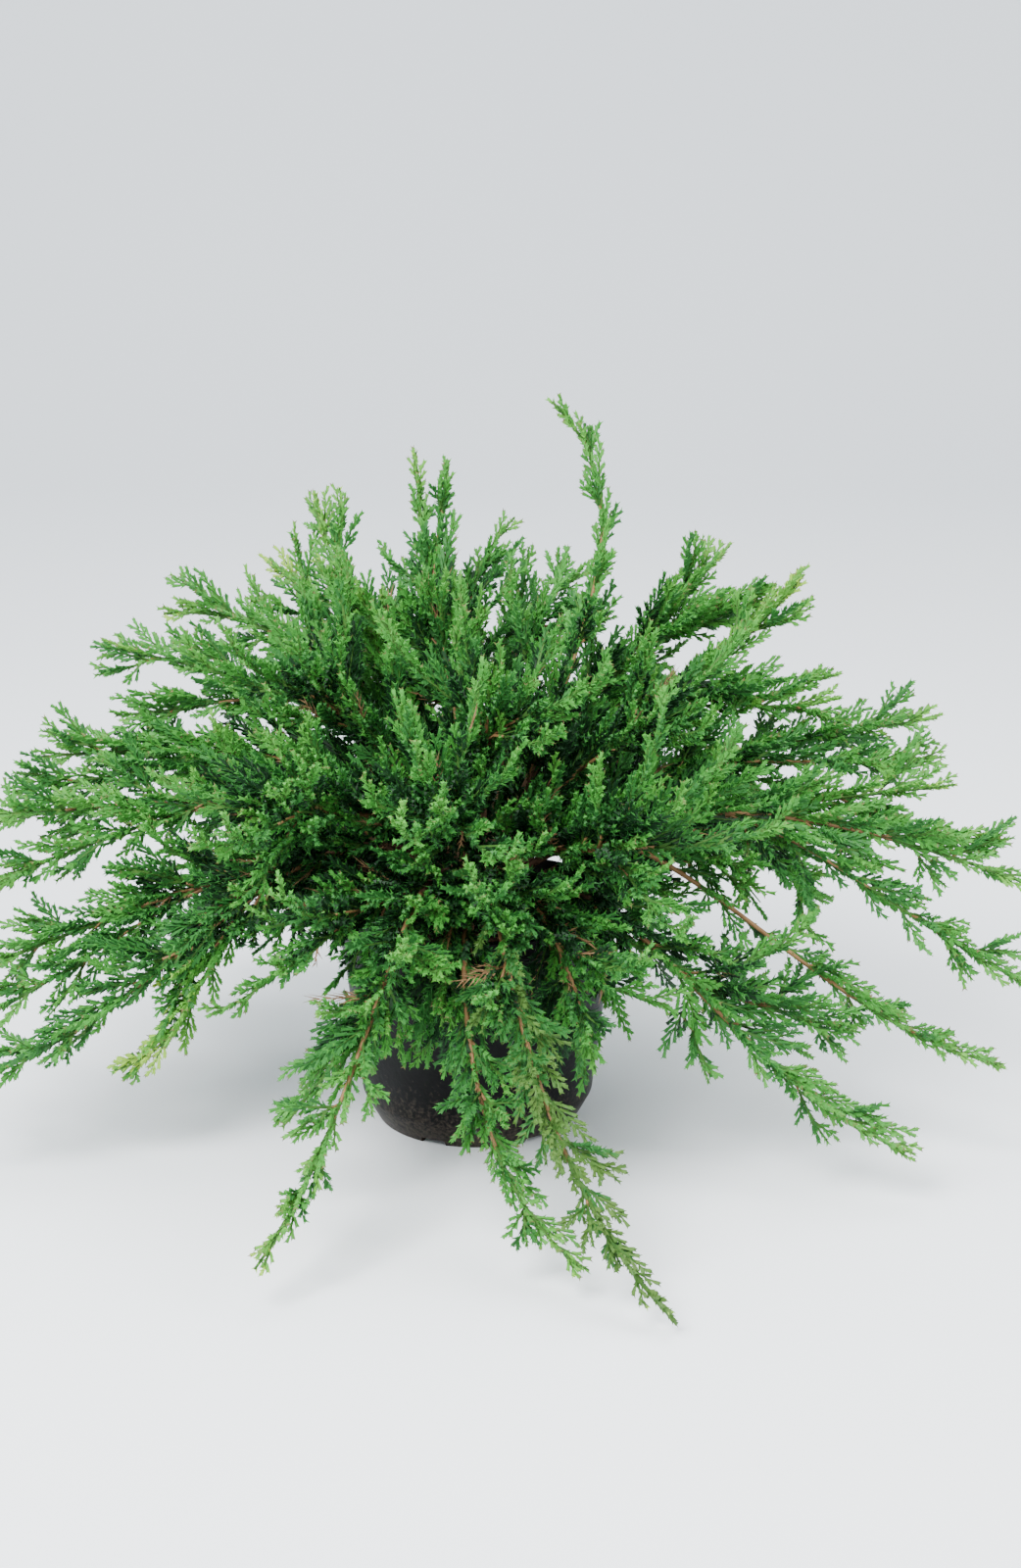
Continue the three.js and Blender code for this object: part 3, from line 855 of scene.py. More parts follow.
@dataclass
class Skeleton:
    """All leaders, grown from the shoots as the solids' masses are."""

    PULL = 0.38
    SIDE_PULL = 0.3
    LEAFY_SHARE_OF_BARE = 0.6
    SIDE_FIRST = 0.1
    SIDE_SPREAD = 0.85
    SEEDS_EACH = 7
    FIRST_SEED = 1
    SIDE_SEED = 4

    trunk: Trunk

    def leaders(self) -> list[Leader]:
        """Grows every shoot's one or two leaders.

        Returns:
            The leaders, in the solids' order.
        """
        grown = []
        for index, shoot in enumerate(SHOOTS):
            start = self.trunk.start_of(shoot)
            leaving = direction(shoot.tip[0] - shoot.sweep, shoot.slopes[0])
            line = self._line(start, leaving, self.PULL, shoot.tip, shoot.slopes[1], shoot.hook)
            first = shoot.bare * self.LEAFY_SHARE_OF_BARE
            seed = index * self.SEEDS_EACH
            grown.append(Leader(shoot.name, shoot.tip[0], line, Order.MAIN, first, shoot.spread,
                                seed + self.FIRST_SEED, shoot.family, shoot.bare, shoot.bough, shoot.thin))
            if shoot.side:
                grown.append(self._side_leader(shoot, line, seed + self.SIDE_SEED))
        return grown

    def _side_leader(self, shoot: Shoot, first: SmoothLine, seed: int) -> Leader:
        """Grows the second leader of a shoot.

        Args:
            shoot: The shoot.
            first: Its first leader's line.
            seed: The new leader's number.

        Returns:
            The leader.
        """
        fork = shoot.side
        points, along = first.at(fork.at)
        straight = unit(self._tip(fork.tip) - points[0])
        line = self._line(points[0], unit(straight + along[0]), self.SIDE_PULL, fork.tip, fork.dip,
                          fork.hook)
        return Leader(shoot.name, shoot.tip[0], line, Order.SIDE, self.SIDE_FIRST,
                      shoot.spread * self.SIDE_SPREAD, seed, fork.family or shoot.family)

    @staticmethod
    def _tip(tip: Triple) -> Array:
        """The point that a heading, a reach and a height give."""
        return direction(tip[0]) * tip[1] + UP * tip[2]

    def _line(self, start: Array, leaving: Array, pull: float, tip: Triple,
              dip: float, hook: float) -> SmoothLine:
        """Draws a leader's line.

        Args:
            start: Where it starts.
            leaving: Its first direction.
            pull: How far it keeps that, as a share of the distance to its tip.
            tip: Heading, reach and height of its tip.
            dip: Slope at its tip in degrees.
            hook: Turn at its tip in degrees.

        Returns:
            The line.
        """
        end = self._tip(tip)
        distance = np.linalg.norm(end - start)
        arriving = direction(tip[0] + hook, dip)
        return SmoothLine.reaching(start, leaving * pull * distance, end, arriving * self.PULL * distance)


@dataclass(frozen=True)
class Shell:
    """One layer of short shoots' tips over the mound.

    Attributes:
        size: Its share of the dome's size.
        tips: How many tips it has.
        lowest: Degrees below level at which its tips start.
        highest: Degrees above level at which they end.
    """

    size: float
    tips: int
    lowest: float
    highest: float


@dataclass(frozen=True)
class Band:
    """A band of short shoots' tips round the middle, over the pot's rim or higher up.

    Attributes:
        tips: How many tips it has.
        headings: The headings between which they lie, in degrees.
        reach: Their least and greatest distance from the middle.
        height: Their least and greatest height.
    """

    tips: int
    headings: Span
    reach: Span
    height: Span


@dataclass
class Mound:
    """Short shoots that fill the crown's middle, their tips spread evenly over a low dome."""

    LAYER_SEEDS = 200

    leaders: list[Leader]
    shells: tuple[Shell, ...] = (
        Shell(1.0, 140, -18, 84),
        Shell(0.78, 76, -12, 85),
        Shell(0.52, 28, 0, 80),
    )
    middle: float = 158.0
    wide: float = 216.0
    tall: float = 206.0
    unevenness: float = 0.18
    shares: Span = (0.05, 0.72)
    samples: int = 45
    shortest: float = 46.0
    turn_cost: float = 90.0
    short_cost: float = 4.0
    tip_wander: float = 20.0
    pull: float = 0.34
    keeping: float = 0.8
    arriving: Span = (0.7, 0.3)
    leafy_from: float = 0.1
    spread: float = 42.0
    first_seed: int = 300
    bands: tuple[Band, ...] = (
        Band(44, (0.0, 360.0), (86.0, 138.0), (118.0, 172.0)),
        Band(24, (-138.0, -44.0), (106.0, 138.0), (64.0, 122.0)),
        Band(34, (-165.0, -15.0), (62.0, 150.0), (178.0, 262.0)),
        Band(32, (15.0, 185.0), (80.0, 150.0), (166.0, 258.0)),
        Band(22, (15.0, 165.0), (108.0, 150.0), (84.0, 140.0)),
        Band(30, (96.0, 156.0), (60.0, 160.0), (296.0, 362.0)),
        Band(16, (12.0, 70.0), (90.0, 190.0), (265.0, 332.0)),
        Band(16, (-160.0, -20.0), (20.0, 78.0), (206.0, 284.0)),
    )
    band_seed: int = 900
    band_wander: float = 0.8
    rise_from: float = 120.0
    rise_over: float = 60.0
    most_tried: int = 60
    checked: int = 13
    pot_radius: float = 100.0
    pot_top: float = 155.0

    def grow(self) -> list[Leader]:
        """Grows a short shoot to every tip, from the leader that suits it best.

        Returns:
            The shoots.
        """
        spots = np.linspace(*self.shares, self.samples)
        frames = [leader.line.at(np.maximum(spots, leader.thin)) for leader in self.leaders]
        points = np.concatenate([frame[0] for frame in frames])
        along = np.concatenate([frame[1] for frame in frames])
        owner = np.repeat(np.arange(len(self.leaders)), self.samples)
        tips = [
            self._tip(shell, number, self.first_seed + layer * self.LAYER_SEEDS + number)
            for layer, shell in enumerate(self.shells)
            for number in range(shell.tips)
        ]
        tips += [
            self._band_tip(band, number, self.band_seed + layer * self.LAYER_SEEDS + number)
            for layer, band in enumerate(self.bands)
            for number in range(band.tips)
        ]
        grown = []
        for number, tip in enumerate(tips):
            way = tip - points
            distance = np.linalg.norm(way, axis=1)
            forward = (way * along).sum(1) / distance
            cost = distance + self.turn_cost * (1 - forward)
            cost += self.short_cost * np.maximum(0, self.shortest - distance)
            for best in np.argsort(cost)[:self.most_tried]:
                parent = self.leaders[owner[best]]
                shoot = self._shoot(parent, points[best], along[best], tip, self.first_seed + number)
                if self._clears_pot(shoot):
                    grown.append(shoot)
                    break
        return grown

    def _clears_pot(self, shoot: Leader) -> bool:
        """Whether a shoot passes above or outside the pot, and beside every window."""
        points = shoot.line.at(np.linspace(0.0, 1.0, self.checked))[0]
        return not (in_pot(points, self.pot_radius, self.pot_top) | in_window(points)).any()

    def _band_tip(self, band: Band, number: int, seed: int) -> Array:
        """Places one tip of a band.

        Args:
            band: The band.
            number: The tip's number in it.
            seed: Its number for random draws.

        Returns:
            The place.
        """
        share = (number + 0.5 + wobble(seed, 3, self.band_wander)) / band.tips
        reach = between(band.reach, chance(seed, 1))
        return direction(between(band.headings, share)) * reach + UP * between(band.height, chance(seed, 2))

    def _tip(self, shell: Shell, number: int, seed: int) -> Array:
        """Places one tip of a shell, turned on from the last one by the golden angle.

        Args:
            shell: The shell.
            number: The tip's number in it.
            seed: Its number for random draws.

        Returns:
            The place.
        """
        low, high = (math.sin(math.radians(angle)) for angle in (shell.lowest, shell.highest))
        lift = math.degrees(math.asin(between((low, high), (number + 0.5) / shell.tips)))
        size = shell.size * (1 + wobble(seed, 1, 2 * self.unevenness))
        way = direction(math.degrees(number * GOLDEN_ANGLE) + wobble(seed, 2, self.tip_wander), lift)
        return way * np.array([self.wide, self.wide, self.tall]) * size + UP * self.middle

    def _shoot(self, parent: Leader, start: Array, along: Array, tip: Array,
               seed: int) -> Leader:
        """Grows one short shoot, which turns upwards if its tip is high.

        Args:
            parent: The leader that it springs from.
            start: Where it starts.
            along: The parent's direction there.
            tip: Where it ends.
            seed: Its number for random draws.

        Returns:
            The shoot.
        """
        distance = float(np.linalg.norm(tip - start))
        straight = (tip - start) / distance
        outward = unit(tip - UP * self.middle)
        leaving = unit(straight + self.keeping * along)
        rise = min(1.0, max(0.0, (tip[2] - self.rise_from) / self.rise_over))
        arriving = unit(self.arriving[0] * straight + self.arriving[1] * outward + rise * UP)
        line = SmoothLine.reaching(start, leaving * self.pull * distance, tip,
                                   arriving * self.pull * distance)
        heading = math.degrees(math.atan2(straight[1], straight[0]))
        family = parent.family if parent.family is not Family.OLIVE else Family.GREEN
        return Leader(parent.name, heading, line, Order.INNER, self.leafy_from, self.spread, seed, family)


class Spaces:
    """The space round each leader, by which sprays keep out of each other's way."""

    SAMPLES = 96

    def __init__(self, leaders: list[Leader]) -> None:
        """Samples every leader's line.

        Args:
            leaders: The leaders.
        """
        shares = np.linspace(0, 1, self.SAMPLES + 1)
        self.points = np.concatenate([leader.line.at(shares)[0] for leader in leaders])
        self.owner = np.repeat(np.arange(len(leaders)), len(shares))
        self.squares = (self.points ** 2).sum(1)

    def intrusion(self, points: Array, owner: int) -> Array:
        """How much nearer points are to another leader than to their own.

        Args:
            points: The points.
            owner: Number of their own leader.

        Returns:
            Millimetres for each point, below zero in its own space.
        """
        squared = (points ** 2).sum(1)[:, None] + self.squares[None] - 2 * points @ self.points.T
        distance = np.sqrt(np.maximum(squared, 0))
        own = distance[:, self.owner == owner].min(1)
        return own - distance[:, self.owner != owner].min(1)


@dataclass
class SideShoots:
    """Side shoots on the outer parts of the leaders, each kept to its leader's space."""

    SEEDS_EACH = 16

    leaders: list[Leader]
    spaces: Spaces
    first: float = 0.36
    last: float = 0.88
    step: float = 27.0
    step_wander: float = 0.6
    angle: float = 40.0
    angle_wander: float = 0.3
    slim_angles: Span = (0.4, 1.0)
    turn_each: float = 50.0
    lengths: Span = (92.0, 40.0)
    most_of_rest: float = 1.1
    keeping: float = 0.2
    checked: tuple[float, ...] = (0.2, 0.4, 0.6, 0.8, 1.0)
    leafy_from: float = 0.12
    unevenness: float = 0.5
    tries: tuple[float, ...] = (1.0, 0.8, 0.6)
    mingle: float = 30.0
    floor: float = 8.0
    pot_radius: float = 104.0
    pot_top: float = 158.0
    pull: float = 0.34
    spread_share: float = 0.5
    full_spread: float = 68.0
    first_seed: int = 2000

    def grow(self) -> list[Leader]:
        """Grows the side shoots of every leader.

        Returns:
            The shoots that have room.
        """
        return [
            shoot
            for number, leader in enumerate(self.leaders)
            for place in range(self._count(leader))
            if (shoot := self._shoot(leader, number, place)) is not None
        ]

    def _count(self, leader: Leader) -> int:
        """How many side shoots a leader has room for."""
        return int(leader.line.length * (self.last - self.first) / self.step)

    def _shoot(self, leader: Leader, number: int, place: int) -> Leader | None:
        """Grows one side shoot, shortened until it fits.

        Args:
            leader: The leader that it springs from.
            number: The leader's number.
            place: The shoot's place on it.

        Returns:
            The shoot, or None where there is no room.
        """
        seed = self.first_seed + number * self.SEEDS_EACH + place
        part = (place + 0.5 + wobble(seed, 1, self.step_wander)) / self._count(leader)
        place_share = between((self.first, self.last), part)
        if place_share < leader.thin:
            return None
        points, along, up, side = leader.frame_at(place_share)
        start, ahead = points[0], along[0]
        slimness = min(1.0, leader.spread / self.full_spread)
        turn = math.radians(math.degrees(GOLDEN_ANGLE) * place + number * self.turn_each)
        lean = self.angle * (1 + wobble(seed, 2, self.angle_wander)) * between(self.slim_angles, slimness)
        lean = math.radians(lean)
        out = up[0] * math.cos(turn) + side[0] * math.sin(turn)
        leaving = ahead * math.cos(lean) + out * math.sin(lean)
        full = between(self.lengths, part)
        full *= slimness ** 2 * (1 + wobble(seed, 3, self.unevenness))
        full = min(full, self.most_of_rest * (1 - place_share) * leader.line.length)
        for share in self.tries:
            length = full * share
            tip = start + leaving * length * (1 - self.keeping) + ahead * length * self.keeping
            line = SmoothLine.reaching(start, leaving * self.pull * length, tip,
                                       unit(leaving + ahead) * self.pull * length)
            points = line.at(np.array(self.checked))[0]
            is_barred = in_pot(points, self.pot_radius, self.pot_top) | in_window(points)
            is_low = points[:, 2] < self.floor
            is_far = self.spaces.intrusion(points, number) > self.mingle
            if not (is_barred | is_low | is_far).any():
                return Leader(leader.name, leader.heading, line, Order.OUTER, self.leafy_from,
                              leader.spread * self.spread_share, seed, leader.family)
        return None


class Tint(Enum):
    """What is unlike the usual green about a spray."""

    GREEN = 0
    OLIVE = 1
    DRY = 2


@dataclass
class Twigs:
    """Gently bent twigs, one row each.

    Attributes:
        start: Where each starts.
        heading: Its first direction, at length one.
        bend: What its tip moves by over a straight twig.
        across: An axis in the plane of its spray.
        length: Its length.
        light: How young and sunny it is, from 0 to 1; its needles' tones show the sun as painted light and
            shade.
        seed: Its number for random draws.
        tint: The value of its tint.
    """

    start: Array
    heading: Array
    bend: Array
    across: Array
    length: Array
    light: Array
    seed: Array
    tint: Array

    def __len__(self) -> int:
        """How many twigs there are."""
        return len(self.length)

    def rows(self, chosen: Array) -> "Twigs":
        """The chosen twigs, by number or by mask."""
        return Twigs(*(getattr(self, name)[chosen] for name in self.__dataclass_fields__))

    def split_dry(self) -> tuple["Twigs", "Twigs"]:
        """The dry twigs and the live ones."""
        is_dry = self.tint == Tint.DRY.value
        return self.rows(is_dry), self.rows(~is_dry)

    @staticmethod
    def joined(several: list["Twigs"]) -> "Twigs":
        """Several lots of twigs as one."""
        names = Twigs.__dataclass_fields__
        return Twigs(*(np.concatenate([getattr(one, name) for one in several]) for name in names))

    def at(self, share: Array) -> Array:
        """A point on each twig at its own share."""
        run = (self.length * share)[:, None]
        return self.start + self.heading * run + self.bend * (share * share)[:, None]

    def along(self, share: Array) -> Array:
        """Unit tangents at each twig's own share."""
        return unit(self.heading * self.length[:, None] + 2 * self.bend * share[:, None])


class Core(Enum):
    """The shares of a twig at which its core is thick and runs out."""

    TAPER = (0.0, 1.03)
    CLUB = (0.93, -0.4)


@dataclass(frozen=True)
class Detail:
    """How fine the needles are at a depth of the crown.

    Attributes:
        light: How sunny the twig is.
        pitch: Distance of needles along a twig.
        size: Their size as a share of the full one.
    """

    light: float
    pitch: float
    size: float


@dataclass(frozen=True)
class Face:
    """One side of a leader that sprays stand on.

    Attributes:
        turn: Degrees round the leader from its upper side.
        share: Length of the sprays as a share of the longest.
    """

    turn: float
    share: float


@dataclass(frozen=True)
class Sunlight:
    """How sunny the sprays of one kind of leader are, which their needles' tones show as painted light and
    shade.

    Attributes:
        foot: Their light at the leader's foot.
        gain: How much more it is at the tip.
        young: How fast it grows on the young outer part.
        far: How soon, on the way out of the crown, their least light is full.
    """

    foot: float
    gain: float
    young: float
    far: float


@dataclass
class Foliage:
    """Sprays, cords and needles on every leader."""

    SEEDS_EACH = 1000
    END_SEEDS = 900
    DRAWS_EACH = 5
    CORD_DRAWS = 40
    CORD_SIZE_DRAWS = 120
    SPRIG_DRAWS = 200
    SPRIG_SIZE_DRAWS = 160
    LEAN_DRAWS = 40
    TURN_DRAWS = 3
    HAND_DRAWS = ((-1, 7), (1, 13))
    LIFT_DRAWS = 9
    TONE_DRAWS = 29
    BUD_DRAW = 3
    SEED_START = 0.5
    SEED_STEP = 0.37

    leaders: list[Leader]
    faces: tuple[Face, ...] = (Face(52, 1.0), Face(232, 0.8), Face(308, 1.0), Face(128, 0.8), Face(0, 0.8))
    rhythm: tuple[float, ...] = (1.0, 0.6, 0.8, 0.5, 0.92, 0.56, 0.72)
    step: float = 5.8
    inner_step: float = 7.2
    angle: float = 34.0
    tip_angle: float = 22.0
    steep_narrowing: float = 0.4
    wander: float = 7.0
    roll: float = 16.0
    unevenness: float = 0.3
    tip_share: float = 0.4
    tries: tuple[float, ...] = (1.0, 0.8, 0.62, 0.45)
    checked: tuple[float, ...] = (0.45, 0.7, 1.0)
    fewest: int = 4
    one_of_few: int = 3
    shortest: float = 9.0
    least: float = 15.0
    mingle: float = 14.0
    curl: float = 0.2
    curl_up: float = 0.25
    end_twig: float = 9.0
    last_gap: float = 11.0
    past_tip: float = 2.0
    rest_share: float = 0.8
    inner_sun: Sunlight = Sunlight(0.13, 0.29, 0.15, 1.3)
    outer_sun: Sunlight = Sunlight(0.18, 0.22, 0.7, 1.5)
    young_from: float = 0.7
    out_gain: float = 0.2
    family_shares: Span = (0.2, 1.0)
    crown_middle: float = 150.0
    crown_reach: float = 300.0
    far_light: float = 0.34
    tone_wander: float = 0.26
    dry_below: float = 0.34
    dry_share: float = 0.1
    cord_step: float = 2.9
    cord_foot: float = 0.08
    cord_span: float = 0.86
    cord_shift: float = 0.3
    cord_angles: Span = (29.0, 17.0)
    cord_wander: float = 10.0
    cord_flare: float = 24.0
    cord_bend: float = 0.2
    cord_gain: float = 0.1
    cord_share: float = 0.37
    cord_sizes: Span = (7.5, 17.0)
    cord_taper: Span = (1.14, 0.56)
    cord_unevenness: Span = (0.84, 1.16)
    sprig_from: float = 13.0
    sprig_each: float = 2.6
    most_sprigs: int = 2
    sprig_foot: float = 0.3
    sprig_span: float = 0.4
    sprig: float = 6.0
    sprig_unevenness: Span = (0.8, 1.2)
    floor: float = 4.0
    pot_radius: float = 98.0
    pot_top: float = 153.0
    wall_radii: Span = (60.0, 96.0)
    wall_top: float = 151.0
    off_floor: float = 0.5
    needled_from: dict[Order, float] = field(
        default_factory=lambda: {Order.MAIN: 0.45, Order.SIDE: 0.35, Order.OUTER: 0.15, Order.INNER: 0.3})
    details: tuple[Detail, ...] = (Detail(0.28, 6.2, 1.7), Detail(0.46, 2.8, 1.08))
    axis_pitch: float = 2.3
    ahead: float = 2.7
    out: float = 2.1
    half_base: float = 1.35
    thickness: float = 1.0
    needle_unevenness: Span = (0.86, 1.14)
    needle_lift: float = 0.8
    pair_turn: float = 40.0
    pair_wander: float = 24.0
    closing_from: float = 0.55
    closed_ahead: float = 0.85
    closed_out: float = 0.5
    needle_gain: float = 0.2
    needle_wander: float = 0.05
    gain_middle: float = 0.4
    axis_radius: float = 1.3
    dry_axis_radius: float = 0.9
    core_radius: float = 1.5
    # Painted shade: how much darker a cord's core is than its needles.
    painted_core_shade: float = 0.04
    dry_radius: float = 0.6
    tone_steps: tuple[float, ...] = (0.3, 0.42, 0.57, 0.74, 0.95)
    bud_length: float = 1.8
    bud_light: float = 0.56
    bud_share: float = 0.45
    most_pairs: int = 32000
    most_cores: int = 48000

    def grow(self, spaces: Spaces) -> None:
        """Grows all twigs, from the sprays to the cords' own sprigs.

        Args:
            spaces: The spaces of the first leaders.
        """
        grown = [self._sprays(leader, number, spaces) for number, leader in enumerate(self.leaders)]
        self.sprays = Twigs.joined(grown)
        self.cords = self._cords(self.sprays)
        self.sprigs = self._sprigs(self.cords)
        self.ends = Twigs.joined([self._leader_twigs(leader) for leader in self.leaders])
        log.info("%d sprays, %d cords, %d sprigs, %.0f m of sprays", len(self.sprays), len(self.cords),
                 len(self.sprigs), self.sprays.length.sum() * MM)

    def _is_clear(self, points: Array) -> Array:
        """Whether points are above the floor and off the pot."""
        return (points[:, 2] > self.floor) & ~in_pot(points, self.pot_radius, self.pot_top)

    def _sprays(self, leader: Leader, number: int, spaces: Spaces) -> Twigs:
        """Grows one leader's sprays, each shortened until it fits.

        Args:
            leader: The leader.
            number: Its number.
            spaces: The spaces of the first leaders.

        Returns:
            The sprays that have room.
        """
        twigs = self._full_sprays(leader)
        room = np.zeros(len(twigs))
        for share in self.tries:
            fits = np.ones(len(twigs), bool)
            for part in self.checked:
                points = twigs.at(np.full(len(twigs), part * share))
                fits &= self._is_clear(points)
                if leader.order in (Order.MAIN, Order.SIDE):
                    fits &= spaces.intrusion(points, number) < self.mingle
                else:
                    fits &= ~in_window(points)
            room = np.where((room == 0) & fits, share, room)
        twigs.length = twigs.length * room
        twigs.bend = twigs.bend * (room * room)[:, None]
        return twigs.rows(twigs.length > self.shortest)

    def _full_sprays(self, leader: Leader) -> Twigs:
        """Grows a leader's sprays at full length, one at each step, on its faces in turn.

        Args:
            leader: The leader.

        Returns:
            The sprays.
        """
        leafy = (1 - leader.leafy_from) * leader.line.length
        is_inner = leader.order is Order.INNER
        gap = 0 if is_inner else self.last_gap
        steps = max(self.fewest, round((leafy - gap) / (self.inner_step if is_inner else self.step)))
        place = np.arange(steps)
        part = place / steps * (1 - gap / leafy)
        leader_share = between((leader.leafy_from, 1), part)
        points, along, up, side = leader.frame_at(leader_share)

        def draw(n: int) -> Array:
            """A number from -0.5 to 0.5 for each spray."""
            return chance(leader.seed, place * self.DRAWS_EACH + n) - 0.5

        faces = [self.faces[number % len(self.faces)] for number in range(steps)]
        turn = np.radians(np.array([face.turn for face in faces]) + 2 * self.roll * draw(0))[:, None]
        lean = between((self.angle, self.tip_angle), part) + 2 * self.wander * draw(1)
        lean = np.radians(lean * (1 - self.steep_narrowing * np.clip(along[:, 2], 0, 1)))[:, None]
        out = up * np.cos(turn) + side * np.sin(turn)
        heading = along * np.cos(lean) + out * np.sin(lean)
        share = np.array([face.share for face in faces]) * np.array(self.rhythm)[place % len(self.rhythm)]
        length = leader.spread * share * between((1, self.tip_share), part)
        length = np.maximum(length * (1 + self.unevenness * draw(2)), self.least)
        if not is_inner:
            length = np.minimum(length, self.rest_share * (1 - part) * leafy + self.past_tip)
        is_left_out = (leader_share < leader.thin) & (place % self.one_of_few > 0)
        length = np.where(is_left_out, 0.0, length)
        bend = along * (1 - self.curl_up) + UP * self.curl_up
        bend = bend * (self.curl * length * (1 + draw(3)))[:, None]
        across = unit(along - heading * (along * heading).sum(1)[:, None])
        light = self._light(leader, part, points) + self.tone_wander * draw(4)
        # Painted shade has a floor: sprays far out of the crown are never dealt the darkest tones.
        far = np.minimum(1, self._sun(leader).far * self._distance_out(points))
        light = np.maximum(light, self.far_light * far)
        is_dry = is_inner & (light < self.dry_below) & (draw(5) + 0.5 < self.dry_share)
        tint = np.where(is_dry, Tint.DRY.value, self._tint(leader))
        seed = (leader.seed * self.SEEDS_EACH + place).astype(float)
        return Twigs(points, heading, bend, across, length, light, seed, tint)

    @staticmethod
    def _tint(leader: Leader) -> int:
        """The value of a leader's tint."""
        return (Tint.OLIVE if leader.family is Family.OLIVE else Tint.GREEN).value

    def _sun(self, leader: Leader) -> Sunlight:
        """The sunlight of a leader's kind."""
        return self.inner_sun if leader.order is Order.INNER else self.outer_sun

    def _distance_out(self, points: Array) -> Array:
        """How far out in the crown points are, from 0 to 1."""
        return np.clip(np.linalg.norm(points - UP * self.crown_middle, axis=1) / self.crown_reach, 0, 1)

    def _light(self, leader: Leader, part: Array, points: Array) -> Array:
        """Works out how young and sunny the sprays along a leader are: deeper in the crown darker, as painted
        shade, and further out lighter, as painted light.

        Args:
            leader: The leader.
            part: Their shares of its leafy part.
            points: Where they stand.

        Returns:
            Their light, mostly from 0 to 1.
        """
        sun = self._sun(leader)
        # Painted light and shade: lighter further out of the crown, darker near its middle.
        light = sun.foot + sun.gain * part + self.out_gain * self._distance_out(points)
        light = light + np.clip(part - self.young_from, 0, 1) * sun.young
        return light + leader.family.value * between(self.family_shares, part)

    def _offshoots(self, on: Twigs, row: Array, place: Array, share: Array,
                   length: Array, first_draw: int) -> Twigs:
        """Grows twigs on alternate edges of other twigs, in their plane.

        Args:
            on: The parent of each twig.
            row: The parent's number.
            place: The twig's place on its parent.
            share: The share of its parent at which it stands.
            length: Its length.
            first_draw: Where its random draws start.

        Returns:
            The twigs.
        """
        along = on.along(share)
        normal = unit(np.cross(along, on.across))
        across = np.cross(normal, along)
        hand = np.where((place + row) % 2 == 0, 1.0, -1.0)[:, None]
        tilt = np.radians(wobble(on.seed, place + first_draw, 2 * self.cord_flare))[:, None]
        edge = across * hand * np.cos(tilt) + normal * np.sin(tilt)
        lean = between(self.cord_angles, share)
        lean = np.radians(lean + wobble(on.seed, place + first_draw + self.LEAN_DRAWS, self.cord_wander))
        lean = lean[:, None]
        heading = unit(along * np.cos(lean) + edge * np.sin(lean))
        bend = along * (self.cord_bend * length)[:, None]
        seed = on.seed + self.SEED_STEP * place + self.SEED_START
        made = Twigs(on.at(share), heading, bend, normal, length, on.light + self.cord_gain * share,
                     seed, on.tint)
        return made.rows(self._is_clear(made.at(np.ones(len(made)))))

    def _cords(self, sprays: Twigs) -> Twigs:
        """Grows cords on both edges of every spray, shorter towards its tip.

        Args:
            sprays: The sprays.

        Returns:
            The cords.
        """
        count = np.maximum(0, (sprays.length * self.cord_span / self.cord_step).astype(int))
        row, place = deal_out(count)
        on = sprays.rows(row)
        step = place + 0.5 + wobble(on.seed, place, self.cord_shift)
        share = self.cord_foot + self.cord_span * step / count[row]
        size = np.clip(on.length * self.cord_share, *self.cord_sizes) * between(self.cord_taper, share)
        length = size * between(self.cord_unevenness, chance(on.seed, place + self.CORD_SIZE_DRAWS))
        return self._offshoots(on, row, place, share, length, self.CORD_DRAWS)

    def _sprigs(self, cords: Twigs) -> Twigs:
        """Grows the long cords' own short sprigs.

        Args:
            cords: The cords.

        Returns:
            The sprigs.
        """
        room = (cords.length - self.sprig_from) / self.sprig_each + 1
        count = np.clip(room.astype(int), 0, self.most_sprigs)
        row, place = deal_out(count)
        on = cords.rows(row)
        share = self.sprig_foot + self.sprig_span * (place + 0.5) / count[row]
        size = between(self.sprig_unevenness, chance(on.seed, place + self.SPRIG_SIZE_DRAWS))
        return self._offshoots(on, row, place, share, self.sprig * size, self.SPRIG_DRAWS)

    def _leader_twigs(self, leader: Leader) -> Twigs:
        """Splits the leafy outer part of a leader into short twigs end to end.

        Args:
            leader: The leader.

        Returns:
            The twigs, the end twig last.
        """
        from_share = leader.leafy_from + self.needled_from[leader.order] * (1 - leader.leafy_from)
        to_share = 1 - self.end_twig / leader.line.length
        count = max(2, round((to_share - from_share) * leader.line.length / self.step))
        shares = np.linspace(from_share, to_share, count + 1)
        points, along, up, _ = leader.frame_at(shares)
        step = np.linalg.norm(np.diff(points, axis=0), axis=1)
        length = np.concatenate([step, [self.end_twig]])
        part = (shares - leader.leafy_from) / (1 - leader.leafy_from)
        light = self._light(leader, part, points)
        seed = (leader.seed * self.SEEDS_EACH + self.END_SEEDS + np.arange(count + 1)).astype(float)
        return Twigs(points, along, np.zeros_like(points), up, length, light, seed,
                     np.full(count + 1, self._tint(leader)))

